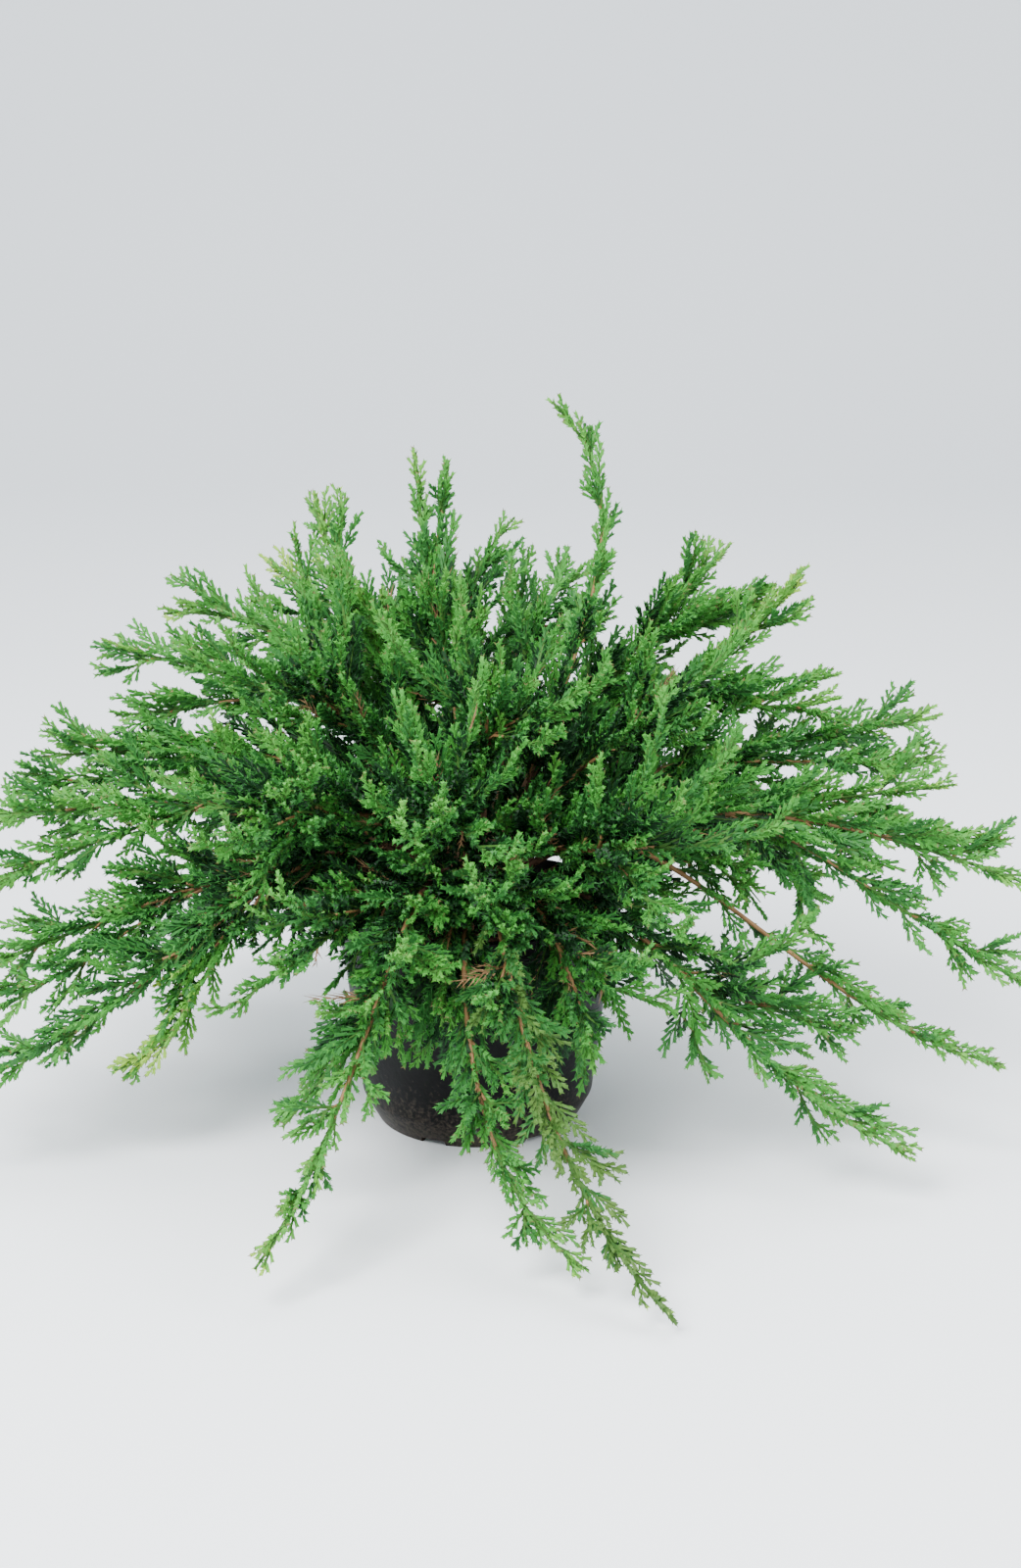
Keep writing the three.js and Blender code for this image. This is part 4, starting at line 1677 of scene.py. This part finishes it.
    def build(self) -> None:
        """Builds the cores of all twigs, and the needles, dealt out to pieces by tone."""
        dry_sprays, sprays = self.sprays.split_dry()
        dry_cords, cords = Twigs.joined([self.cords, self.sprigs]).split_dry()
        cores = (
            ("spray_axes", sprays, self.axis_radius, GREEN_STEM, "foliage"),
            ("dry_spray_axes", dry_sprays, self.dry_axis_radius, DRY_TWIG, "bark"),
            ("dry_twigs", dry_cords, self.dry_radius, DRY_TWIG, "bark"),
        )
        for name, twigs, radius, finish, slot in cores:
            place_piece(mesh_piece(name, *self._cores(twigs, radius, Core.TAPER), finish), [])
        # The cords' cores are dealt a slightly darker tone than their needles: painted shade between the
        # needles.
        tones = self._tones(cords, cords.light - self.painted_core_shade)
        for tone, name, lot in self._lots("cords", np.arange(len(cords)), tones, self.most_cores):
            made = self._cores(cords.rows(lot), self.core_radius, Core.CLUB)
            place_piece(mesh_piece(name, *made, NEEDLES[tone]), [])
        lots = ((sprays, True, self.axis_pitch), (cords, True, 1.0), (self.ends, False, 1.0))
        made = [self._pairs_on(twigs, is_tip, spacing) for twigs, is_tip, spacing in lots]
        pairs = np.concatenate([corners for corners, _ in made])
        tones = np.concatenate([tone for _, tone in made])
        log.info("%d pairs of needles", len(pairs))
        for tone, name, lot in self._lots("needles", pairs, tones, self.most_pairs):
            place_piece(self._needle_piece(name, lot, tone), nodes_named("mass_"))

    @staticmethod
    def _lots(kind: str, things: Array, tones: Array, most: int) -> list[tuple]:
        """Deals things out by tone, in lots of a piece each.

        Args:
            kind: What the pieces hold.
            things: The things, one row each.
            tones: Their tones.
            most: The most that one piece may hold.

        Returns:
            The tone, name and things of each piece.
        """
        dealt = []
        for tone in Tone:
            chosen = things[tones == tone.value]
            pieces = np.array_split(chosen, max(1, math.ceil(len(chosen) / most)))
            dealt += [
                (tone, f"{kind}_{tone.name.lower()}_{number + 1}", lot)
                for number, lot in enumerate(pieces) if len(lot)
            ]
        return dealt

    def _tones(self, on: Twigs, light: Array) -> Array:
        """Chooses tones for twigs, or for what stands on them.

        Args:
            on: The twigs.
            light: How sunny each is.

        Returns:
            The value of each one's tone.
        """
        tone = np.searchsorted(np.array(self.tone_steps), light)
        is_sunny = (tone >= Tone.MID.value) & (tone <= Tone.BRIGHT.value)
        return np.where((on.tint == Tint.OLIVE.value) & is_sunny, Tone.OLIVE.value, tone)

    def _pairs_on(self, twigs: Twigs, is_tip: bool, spacing: float) -> tuple[Array, Array]:
        """Sets crossed pairs of opposite needles on twigs.

        Args:
            twigs: The twigs.
            is_tip: Whether the pairs close up towards the twigs' ends.
            spacing: How much wider than on a cord the pairs are spaced.

        Returns:
            Five corners for each pair, and its tone.
        """
        lights = [detail.light for detail in self.details]
        pitch = spacing * np.interp(twigs.light, lights, [detail.pitch for detail in self.details])
        count = np.maximum(2, np.round(twigs.length / pitch).astype(int))
        row, place = deal_out(count)
        on = twigs.rows(row)
        share = (place + 0.5) / count[row]
        along = on.along(share)
        normal = unit(np.cross(along, on.across))
        edge = np.cross(normal, along)
        turn = self.pair_turn * np.where(place % 2 == 0, 1, -1)
        turn = np.radians(turn + wobble(on.seed, place + self.TURN_DRAWS, self.pair_wander))[:, None]
        out = edge * np.cos(turn) + normal * np.sin(turn)
        above = np.cross(along, out)
        closing = np.where(is_tip, np.clip((share - self.closing_from) / (1 - self.closing_from), 0, 1), 0)
        coarse = np.interp(on.light, lights, [detail.size for detail in self.details])
        middle = on.at(share)
        corners = [middle - along * self.half_base, middle + along * self.half_base]
        for hand, draws in self.HAND_DRAWS:
            size = coarse * between(self.needle_unevenness, chance(on.seed, place + draws))
            ahead = (self.ahead * size * between((1, self.closed_ahead), closing))[:, None]
            reach = (self.out * size * between((1, self.closed_out), closing))[:, None]
            lift = wobble(on.seed, place + draws + self.LIFT_DRAWS, self.needle_lift)[:, None]
            corners.append(middle + along * ahead + out * hand * reach + above * lift)
        corners.append(middle + above * self.thickness)
        corners = np.stack(corners, 1)
        # Needles lighter towards a twig's tip: younger growth, and partly painted light.
        light = on.light + self.needle_gain * (share - self.gain_middle)
        light = light + wobble(on.seed, place + self.TONE_DRAWS, self.needle_wander)
        tone = self._tones(on, light)
        is_last = is_tip & ((1 - share) * on.length < self.bud_length)
        budded = is_last & (light > self.bud_light) & (chance(on.seed, self.BUD_DRAW) < self.bud_share)
        tone = np.where(budded & (on.tint == Tint.GREEN.value), Tone.BUD.value, tone)
        tips = corners[:, 2:4]
        wide = np.hypot(tips[:, :, 0], tips[:, :, 1])
        inner, outer = self.wall_radii
        in_wall = (wide > inner) & (wide < outer) & (tips[:, :, 2] < self.wall_top)
        keep = (tips[:, :, 2] > self.off_floor).all(1) & ~in_wall.any(1)
        return corners[keep], tone[keep]

    @staticmethod
    def _needle_piece(name: str, corners: Array, tone: Tone) -> bpy.types.Object:
        """Joins pairs of needles, each pair one closed blade that forks round its twig.

        Args:
            name: The piece's name.
            corners: Five corners for each pair.
            tone: Their tone.

        Returns:
            The piece.
        """
        back, front, left, right, top = range(5)
        faces = np.array([
            [back, left, top], [left, front, top], [front, right, top], [right, back, top],
            [back, front, left], [back, right, front],
        ])
        triangles = (np.arange(len(corners)) * corners.shape[1])[:, None, None] + faces[None]
        return mesh_piece(name, corners.reshape(-1, 3), triangles.reshape(-1, 3), NEEDLES[tone])

    @staticmethod
    def _cores(twigs: Twigs, radius: float, shape: Core) -> tuple[Array, Array]:
        """Makes three-sided cores that run out to a point at one end.

        Args:
            twigs: The twigs.
            radius: Their radius at the thick end.
            shape: Which end is the thick one.

        Returns:
            Corners and triangles.
        """
        thick, thin = (np.full(len(twigs), share) for share in shape.value)
        centre, along = twigs.at(thick), twigs.along(thick)
        first = unit(np.cross(along, twigs.across))
        second = np.cross(along, first)
        corners = [
            centre + radius * (first * math.cos(turn) + second * math.sin(turn))
            for turn in (0, 2 * math.pi / 3, 4 * math.pi / 3)
        ]
        corners = np.stack([*corners, twigs.at(thin)], 1)
        faces = np.array([[0, 2, 1], [0, 1, 3], [1, 2, 3], [2, 0, 3]])
        if shape is Core.CLUB:
            faces = faces[:, ::-1]
        triangles = (np.arange(len(twigs)) * corners.shape[1])[:, None, None] + faces[None]
        return corners.reshape(-1, 3), triangles.reshape(-1, 3)


@dataclass
class Wood:
    """The bark of the trunk and the boughs, and the leaders' stems."""

    BOUGH_RADII = (2.7, 1.9)
    STEM_RADII = (1.9, 0.8)
    SEEDS_EACH = 31

    trunk: Trunk
    leaders: list[Leader]
    radii: dict[Order, Span] = field(default_factory=lambda: {
        Order.MAIN: Wood.STEM_RADII, Order.SIDE: (1.2, 0.7), Order.OUTER: (1.0, 0.6),
        Order.INNER: (1.1, 0.6)})
    step: float = 5.0
    sides: int = 7
    sunk: float = 9.0
    swelling: float = 0.3
    bark_overlap: float = 0.01
    young_overlap: float = 0.005
    bark_relief: float = 0.08
    full_relief_at: float = 1.5
    strip_turn: float = 2.4
    strip_rise: float = 0.11
    strip_wander: float = 0.7
    green_from: dict[Order, float] = field(default_factory=lambda: {
        Order.MAIN: 0.62, Order.SIDE: 0.45, Order.OUTER: 0.15, Order.INNER: 0.3})
    fine_step: float = 12.0
    fine_sides: int = 4

    def build(self) -> None:
        """Builds the boughs, the stems' older and younger stretches and their pieces."""
        boughs, young, green = Batch(), Batch(), Batch()
        for number, leader in enumerate(self.leaders):
            radii = self.radii[leader.order]
            if leader.order is Order.MAIN:
                foot = self.BOUGH_RADII if leader.bough else (radii[0] + self.swelling, radii[0])
                self._stretch(boughs, leader, (0.0, leader.bare + self.bark_overlap), foot, number)
            green_from = self.green_from[leader.order]
            turn = between((leader.bare, 1), green_from)
            middle = between(radii, green_from)
            self._stretch(young, leader, (leader.bare, turn + self.young_overlap), (radii[0], middle), number)
            self._stretch(green, leader, (turn, 1.0), (middle, radii[1]), number)
        place_piece(self.trunk.build(), ["trunk"])
        place_piece(boughs.piece("boughs_bark", BARK, smooth=True), nodes_named("bough_"))
        place_piece(young.piece("stems_young_bark", YOUNG_BARK, smooth=True), [])
        place_piece(green.piece("stems_green", GREEN_STEM, smooth=True), [])

    def _stretch(self, batch: Batch, leader: Leader, ends: Span, radii: Span, number: int) -> None:
        """Adds one stretch of a leader with the relief of its bark.

        Args:
            batch: The batch that it goes into.
            leader: The leader.
            ends: The shares of the leader at which it starts and ends.
            radii: Its radii there.
            number: The leader's number.
        """
        start, end = ends
        is_fine = leader.order in (Order.OUTER, Order.INNER)
        step, sides = (self.fine_step, self.fine_sides) if is_fine else (self.step, self.sides)
        count = max(2, round((end - start) * leader.line.length / step))
        share = np.linspace(start, end, count + 1)
        points, along, up, side = leader.frame_at(share)
        if start == 0.0 and leader.order is Order.MAIN:
            points = np.concatenate([points[:1] - along[:1] * self.sunk, points])
            up, side = np.concatenate([up[:1], up]), np.concatenate([side[:1], side])
            share = np.concatenate([share[:1], share])
        radius = between(radii, (share - start) / (end - start))[:, None]
        corner = np.arange(sides)[None]
        ring = np.arange(len(share))[:, None]
        strips = np.sin(corner * self.strip_turn + ring * self.strip_rise + number)
        strips = strips + wobble(ring + number * self.SEEDS_EACH, corner, self.strip_wander)
        relief = 1 + self.bark_relief * strips * np.minimum(1, radius / self.full_relief_at)
        batch.add(*tube(points, up, side, radius * relief, sides))


def nodes_named(start: str) -> list[str]:
    """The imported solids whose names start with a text, in order."""
    return [name for name in sorted(frame["nodes"]) if name.startswith(start)]


# Modelling by operators
def add_disc(sides: int, radius: float, height: float) -> bpy.types.Object:
    """Adds a filled circle and opens it in edit mode with its face selected.

    Args:
        sides: Its corners.
        radius: Its radius.
        height: Its height above the floor.

    Returns:
        The circle, round the Z axis.
    """
    bpy.ops.object.select_all(action="DESELECT")
    bpy.ops.mesh.primitive_circle_add(vertices=sides, radius=radius * MM, fill_type="NGON",
                                      location=(0, 0, height * MM))
    disc = bpy.context.object
    bpy.ops.object.transform_apply(location=True, rotation=True, scale=True)
    bpy.ops.object.mode_set(mode="EDIT")
    bpy.ops.mesh.select_mode(type="FACE")
    bpy.ops.mesh.select_all(action="SELECT")
    return disc


def extrude_profile(profile: list[Span]) -> None:
    """Extrudes the selected disc through rings.

    Args:
        profile: Radius and height of each ring, the disc's own first.
    """
    for (radius, height), (next_radius, next_height) in zip(profile, profile[1:]):
        bpy.ops.mesh.extrude_region_move(
            TRANSFORM_OT_translate={"value": (0, 0, (next_height - height) * MM)})
        scale = next_radius / radius
        bpy.ops.transform.resize(value=(scale, scale, 1))


def apply_modifier(piece: bpy.types.Object, kind: str, **settings) -> None:
    """Adds a modifier to a piece and applies it.

    Args:
        piece: The piece.
        kind: The modifier's type.
        **settings: The modifier's own settings.
    """
    bpy.context.view_layer.objects.active = piece
    modifier = piece.modifiers.new(kind.lower(), kind)
    for name, value in settings.items():
        setattr(modifier, name, value)
    bpy.ops.object.modifier_apply(modifier=modifier.name)


def finish_piece(piece: bpy.types.Object, name: str, finish: Finish, angle: float = 40) -> None:
    """Names a piece, turns its faces outwards, smooths its shading and gives it its finish.

    Args:
        piece: The piece.
        name: Its new name.
        finish: Its finish.
        angle: The sharpest edge that is shaded smooth, in degrees.
    """
    piece.name = piece.data.name = name
    bpy.ops.object.select_all(action="DESELECT")
    piece.select_set(True)
    bpy.context.view_layer.objects.active = piece
    bpy.ops.object.mode_set(mode="EDIT")
    bpy.ops.mesh.select_all(action="SELECT")
    bpy.ops.mesh.normals_make_consistent(inside=False)
    bpy.ops.object.mode_set(mode="OBJECT")
    bpy.ops.object.shade_smooth_by_angle(angle=math.radians(angle))
    piece.data.materials.clear()
    piece.data.materials.append(finish.material())


def unwrap_round_stem(piece: bpy.types.Object, radius: float) -> None:
    """Gives an upright stem UV values in metres, round it and along it.

    Args:
        piece: The stem.
        radius: Its radius, taken as even.
    """
    mesh = piece.data
    corner = np.zeros(len(mesh.vertices) * 3)
    mesh.vertices.foreach_get("co", corner)
    corner = corner.reshape(-1, 3)
    loops = np.zeros(len(mesh.loops), int)
    mesh.loops.foreach_get("vertex_index", loops)
    turn = np.abs(np.arctan2(corner[:, 1], corner[:, 0]))
    along = np.stack([turn * radius * MM, corner[:, 2]], 1)
    layer = mesh.uv_layers.get("along") or mesh.uv_layers.new(name="along")
    layer.data.foreach_set("uv", along[loops].astype(np.float32).ravel())


@dataclass
class NurseryPot:
    """A thermoformed pot with a rolled collar, a chamfered foot and notches for drainage.

    The names in capitals say how a corner of its profile is rounded: how far out and up from the sharp
    corner each ring lies.
    """

    SOLE = ((-2.0, 1.6), (0.0, 0.0))
    FOOT = ((-0.8, 0.0), (0.0, 0.8))
    SHOULDER = ((-0.5, -1.0), (0.2, 1.0))
    LEDGE = ((-0.1, 0.0), (0.7, 1.0))
    UNDER_COLLAR = ((0.3, -1.2),)
    COLLAR = ((-0.8, 0.2), (-0.4, 1.2))
    RIM = ((-0.6, -3.4), (0.0, -2.6), (0.0, -0.8), (-0.8, 0.0))
    RIM_INSIDE = ((0.6, 0.0), (0.0, -0.6))
    FLOOR_EDGE = ((0.0, 1.6),)
    SHARP = ((0.0, 0.0),)

    height: float = 150.0
    rim_radius: float = 95.0
    collar_height: float = 13.0
    collar_step: float = 2.2
    shoulder_radius: float = 76.6
    shoulder_height: float = 18.4
    foot_radius: float = 67.0
    sole_width: float = 12.0
    wall: float = 1.6
    floor: float = 2.4
    sides: int = 120
    ledge_height: float = 112.0
    bevel: float = 0.35
    bevel_angle: float = 38.0
    notches: int = 6
    notch_width: float = 17.0
    notch_height: float = 4.0
    notch_depth: float = 13.0
    notch_bevel: float = 1.6
    first_notch: float = -115.0

    def wall_radius(self, height: float) -> float:
        """The outer radius of the wall between the shoulder and the collar."""
        share = (height - self.shoulder_height) / (self.height - self.shoulder_height)
        return between((self.shoulder_radius, self.rim_radius - self.collar_step), share)

    def build(self) -> None:
        """Extrudes the shell, cuts its notches and rounds its edges."""
        collar = self.height - self.collar_height
        sole = self.foot_radius - self.sole_width
        corners = [
            (sole, 0.0, self.SOLE),
            (self.foot_radius, 0.0, self.FOOT),
            (self.shoulder_radius, self.shoulder_height, self.SHOULDER),
            (self.wall_radius(self.ledge_height), self.ledge_height, self.LEDGE),
            (self.wall_radius(collar), collar, self.UNDER_COLLAR),
            (self.rim_radius, collar, self.COLLAR),
            (self.rim_radius, self.height, self.RIM),
            (self.wall_radius(self.height) - self.wall, self.height, self.RIM_INSIDE),
            (self.wall_radius(self.shoulder_height) - self.wall, self.shoulder_height, self.SHARP),
            (self.foot_radius - self.wall, self.floor, self.FLOOR_EDGE),
            (sole, self.floor, self.SHARP),
        ]
        profile = [(radius + out, height + up) for radius, height, rings in corners for out, up in rings]
        pot = add_disc(self.sides, *profile[0])
        extrude_profile(profile)
        bpy.ops.object.mode_set(mode="OBJECT")
        for number in range(self.notches):
            self._cut_notch(pot, self.first_notch + 360 * number / self.notches)
        apply_modifier(pot, "BEVEL", width=self.bevel * MM, segments=2, limit_method="ANGLE",
                       angle_limit=math.radians(self.bevel_angle))
        finish_piece(pot, "nursery_pot", POT_PLASTIC)
        place_piece(pot, ["pot"])

    def _cut_notch(self, pot: bpy.types.Object, heading: float) -> None:
        """Cuts one drainage notch across the edge of the foot.

        Args:
            pot: The pot.
            heading: Degrees from +X of the notch.
        """
        bpy.ops.object.select_all(action="DESELECT")
        middle = direction(heading) * self.foot_radius * MM
        bpy.ops.mesh.primitive_cube_add(size=1, location=middle.tolist(),
                                        rotation=(0, 0, math.radians(heading)))
        block = bpy.context.object
        block.scale = (self.notch_depth * 2 * MM, self.notch_width * MM, self.notch_height * 2 * MM)
        bpy.ops.object.transform_apply(location=True, rotation=True, scale=True)
        apply_modifier(block, "BEVEL", width=self.notch_bevel * MM, segments=3)
        apply_modifier(pot, "BOOLEAN", operation="DIFFERENCE", object=block, solver="EXACT")
        bpy.data.objects.remove(block)


@dataclass
class RootBall:
    """The soil in the pot, with crumbs of bark and peat lying on it."""

    FOOT_EDGE = (-2.0, 1.0)
    TOP_EDGE = (-2.5, 1.5)

    pot: NurseryPot
    top: float = SOIL_TOP
    foot: float = 4.3
    crown: float = 3.0
    slack: float = 0.9
    sides: int = 96
    rings: int = 22
    middle: float = 4.0
    edge_band: float = 3.0
    above_edge: float = 1.0
    sunk: float = 1.2
    lumps: float = 0.72
    wide_waves: Span = (0.21, 0.24)
    wave_shift: float = 1.3
    fine_waves: Span = (0.53, 0.47)
    fine_share: float = 0.5
    even_edge: int = 6
    crumbs: int = 600
    crumb_reach: float = 0.985
    crumb_sizes: Span = (1.2, 4.2)
    small_crumbs: int = 3
    crumb_shape: Triple = (1.0, 0.62, 0.4)
    crumb_roughness: float = 0.5
    crumb_tilt: float = 0.9
    crumb_rise: float = 0.12
    seed: int = 12

    def build(self) -> None:
        """Builds the plug of soil and strews its crumbs."""
        inset = self.pot.wall + self.slack
        edge = self.pot.wall_radius(self.top) - inset
        foot = self.pot.foot_radius - inset
        brim = self.top - self.crown
        profile = [
            (foot + self.FOOT_EDGE[0], self.foot),
            (foot, self.foot + self.FOOT_EDGE[1]),
            (self.pot.shoulder_radius - inset, self.pot.shoulder_height + self.FOOT_EDGE[1]),
            (edge, brim),
            (edge + self.TOP_EDGE[0], brim + self.TOP_EDGE[1]),
        ]
        soil = add_disc(self.sides, *profile[0])
        extrude_profile(profile)
        for _ in range(self.rings):
            bpy.ops.mesh.inset(thickness=(edge - self.middle) / (self.rings + 1) * MM)
        bpy.ops.object.mode_set(mode="OBJECT")
        for corner in soil.data.vertices:
            self._lump(corner, edge)
        finish_piece(soil, "potting_mix", PEAT)
        place_piece(soil, ["soil"])
        self._strew(edge)

    def surface(self, x: float, y: float, edge: float) -> float:
        """Finds the height of the soil's top, which is crowned and lumpy.

        Args:
            x: The place along X.
            y: The place along Y.
            edge: The soil's radius at the top.

        Returns:
            The height there.
        """
        share = min(1.0, math.hypot(x, y) / edge)
        lump = math.sin(x * self.wide_waves[0] + self.wave_shift) * math.cos(y * self.wide_waves[1])
        lump += self.fine_share * math.sin(x * self.fine_waves[0] - y * self.fine_waves[1])
        crowned = self.top - self.crown * share ** 2 - self.sunk
        return crowned + self.lumps * lump * (1 - share ** self.even_edge)

    def _lump(self, corner: bpy.types.MeshVertex, edge: float) -> None:
        """Moves a corner of the top to the lumpy surface.

        Args:
            corner: The corner.
            edge: The soil's radius at the top.
        """
        x, y, z = (value / MM for value in corner.co)
        is_top = z > self.top - self.crown + self.above_edge
        if is_top and math.hypot(x, y) < edge - self.edge_band:
            corner.co.z = self.surface(x, y, edge) * MM

    def _strew(self, edge: float) -> None:
        """Strews crumbs, each a squashed and turned lump with a few faces.

        Args:
            edge: The soil's radius at the top.
        """
        draw = np.random.default_rng(self.seed)
        bpy.ops.object.select_all(action="DESELECT")
        bpy.ops.mesh.primitive_ico_sphere_add(subdivisions=1, radius=1, location=(0, 0, 0))
        ball = bpy.context.object
        corner = np.array([vertex.co for vertex in ball.data.vertices])
        faces = np.array([polygon.vertices for polygon in ball.data.polygons])
        bpy.data.objects.remove(ball)
        batch = Batch()
        for _ in range(self.crumbs):
            out = edge * self.crumb_reach * math.sqrt(draw.random())
            turn = draw.random() * 2 * math.pi
            x, y = out * math.cos(turn), out * math.sin(turn)
            size = between(self.crumb_sizes, draw.random() ** self.small_crumbs)
            rough = 1 + self.crumb_roughness * (draw.random(corner.shape) - 0.5)
            shape = corner * rough * self.crumb_shape * size
            spin, tip = draw.random() * 2 * math.pi, (draw.random() - 0.5) * self.crumb_tilt
            turned = shape @ rotation_about_z(spin) @ rotation_about_x(tip)
            batch.add(turned + [x, y, self.surface(x, y, edge) + size * self.crumb_rise], faces)
        place_piece(batch.piece("soil_crumbs", CRUMB), [])


def rotation_about_z(angle: float) -> Array:
    """A turn about Z, for points in rows."""
    cos, sin = math.cos(angle), math.sin(angle)
    return np.array([[cos, sin, 0], [-sin, cos, 0], [0, 0, 1]])


def rotation_about_x(angle: float) -> Array:
    """A turn about X, for points in rows."""
    cos, sin = math.cos(angle), math.sin(angle)
    return np.array([[1, 0, 0], [0, cos, sin], [0, -sin, cos]])


@dataclass(frozen=True)
class Lamp:
    """One soft square light, in metres and watts.

    Attributes:
        name: Its name.
        place: Where it hangs.
        size: Length of its sides.
        power: Its power.
    """

    name: str
    place: Triple
    size: float
    power: float


@dataclass
class Studio:
    """A pale seamless floor, soft lights and the camera, in metres."""

    photo_height: int = 1600
    focal_pixels: float = 2860.0
    depression: float = 15.9
    camera_place: Triple = (0.022, -1.75537, 0.72710)
    sensor: float = 36.0
    half_width: float = 16.0
    front: float = -14.0
    bend_from: float = 2.4
    bend_radius: float = 1.6
    bend_corners: int = 13
    wall_top: float = 6.0
    lamps: tuple[Lamp, ...] = (
        Lamp("key_light", (-0.9, -1.5, 2.1), 1.3, 165),
        Lamp("fill_light", (1.7, -0.9, 1.3), 1.3, 44),
        Lamp("top_light", (0.2, 0.6, 2.4), 1.6, 30),
    )
    aim: Triple = (0.0, 0.0, 0.2)
    room_colour: str = "#eef3f8"
    room_strength: float = 1.3
    farthest: float = 60.0

    def build(self) -> None:
        """Builds the floor, the lights and the camera."""
        self._floor()
        for lamp in self.lamps:
            self._light(lamp)
        world = bpy.data.worlds.new("soft_room")
        bpy.context.scene.world = world
        world.use_nodes = True
        room = world.node_tree.nodes["Background"]
        room.inputs["Color"].default_value = linear(self.room_colour)
        room.inputs["Strength"].default_value = self.room_strength
        self._camera()

    def _floor(self) -> None:
        """Lays a sheet of paper flat and bends it up behind the plant."""
        bend = [
            (self.bend_from + self.bend_radius * math.sin(angle),
             self.bend_radius * (1 - math.cos(angle)))
            for angle in np.linspace(0, math.pi / 2, self.bend_corners)
        ]
        side = [(self.front, 0.0), *bend, (self.bend_from + self.bend_radius, self.wall_top)]
        points = np.array([[x, y, z] for y, z in side for x in (-self.half_width, self.half_width)]) / MM
        a = np.arange(0, 2 * len(side) - 2, 2)
        triangles = np.concatenate([np.stack([a, a + 1, a + 3], 1), np.stack([a, a + 3, a + 2], 1)])
        mesh_piece("floor", points, triangles, STUDIO_PAPER, smooth=True)

    def _light(self, lamp: Lamp) -> None:
        """Adds one soft light that looks at the crown.

        Args:
            lamp: Its measures.
        """
        data = bpy.data.lights.new(lamp.name, "AREA")
        data.size = lamp.size
        data.energy = lamp.power
        light = bpy.data.objects.new(lamp.name, data)
        light.location = lamp.place
        way = Vector(self.aim) - light.location
        light.rotation_euler = way.to_track_quat("-Z", "Y").to_euler()
        bpy.context.scene.collection.objects.link(light)

    def _camera(self) -> None:
        """Adds the camera that the pot's ellipses give."""
        data = bpy.data.cameras.new("camera")
        data.sensor_fit = "VERTICAL"
        data.sensor_height = self.sensor
        data.lens = self.focal_pixels / self.photo_height * self.sensor
        data.clip_end = self.farthest
        camera = bpy.data.objects.new("camera", data)
        camera.location = self.camera_place
        camera.rotation_euler = (math.radians(90 - self.depression), 0, 0)
        bpy.context.scene.collection.objects.link(camera)
        bpy.context.scene.camera = camera


def main() -> None:
    """Builds the plant in its pot, piece by piece."""
    logging.basicConfig(level=logging.INFO, format="%(message)s")
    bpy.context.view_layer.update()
    Studio().build()
    pot = NurseryPot()
    pot.build()
    RootBall(pot).build()
    trunk = Trunk()
    leaders = Skeleton(trunk).leaders()
    spaces = Spaces(leaders)
    leaders = leaders + SideShoots(leaders, spaces).grow() + Mound(leaders).grow()
    Wood(trunk, leaders).build()
    foliage = Foliage(leaders)
    foliage.grow(spaces)
    foliage.build()


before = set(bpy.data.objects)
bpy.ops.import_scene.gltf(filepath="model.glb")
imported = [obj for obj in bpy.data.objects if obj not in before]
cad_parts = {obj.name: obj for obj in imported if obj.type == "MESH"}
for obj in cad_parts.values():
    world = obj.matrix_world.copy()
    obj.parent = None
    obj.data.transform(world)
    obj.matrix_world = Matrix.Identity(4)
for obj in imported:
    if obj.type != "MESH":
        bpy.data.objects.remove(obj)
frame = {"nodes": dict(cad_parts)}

if __name__ == "__main__":
    main()
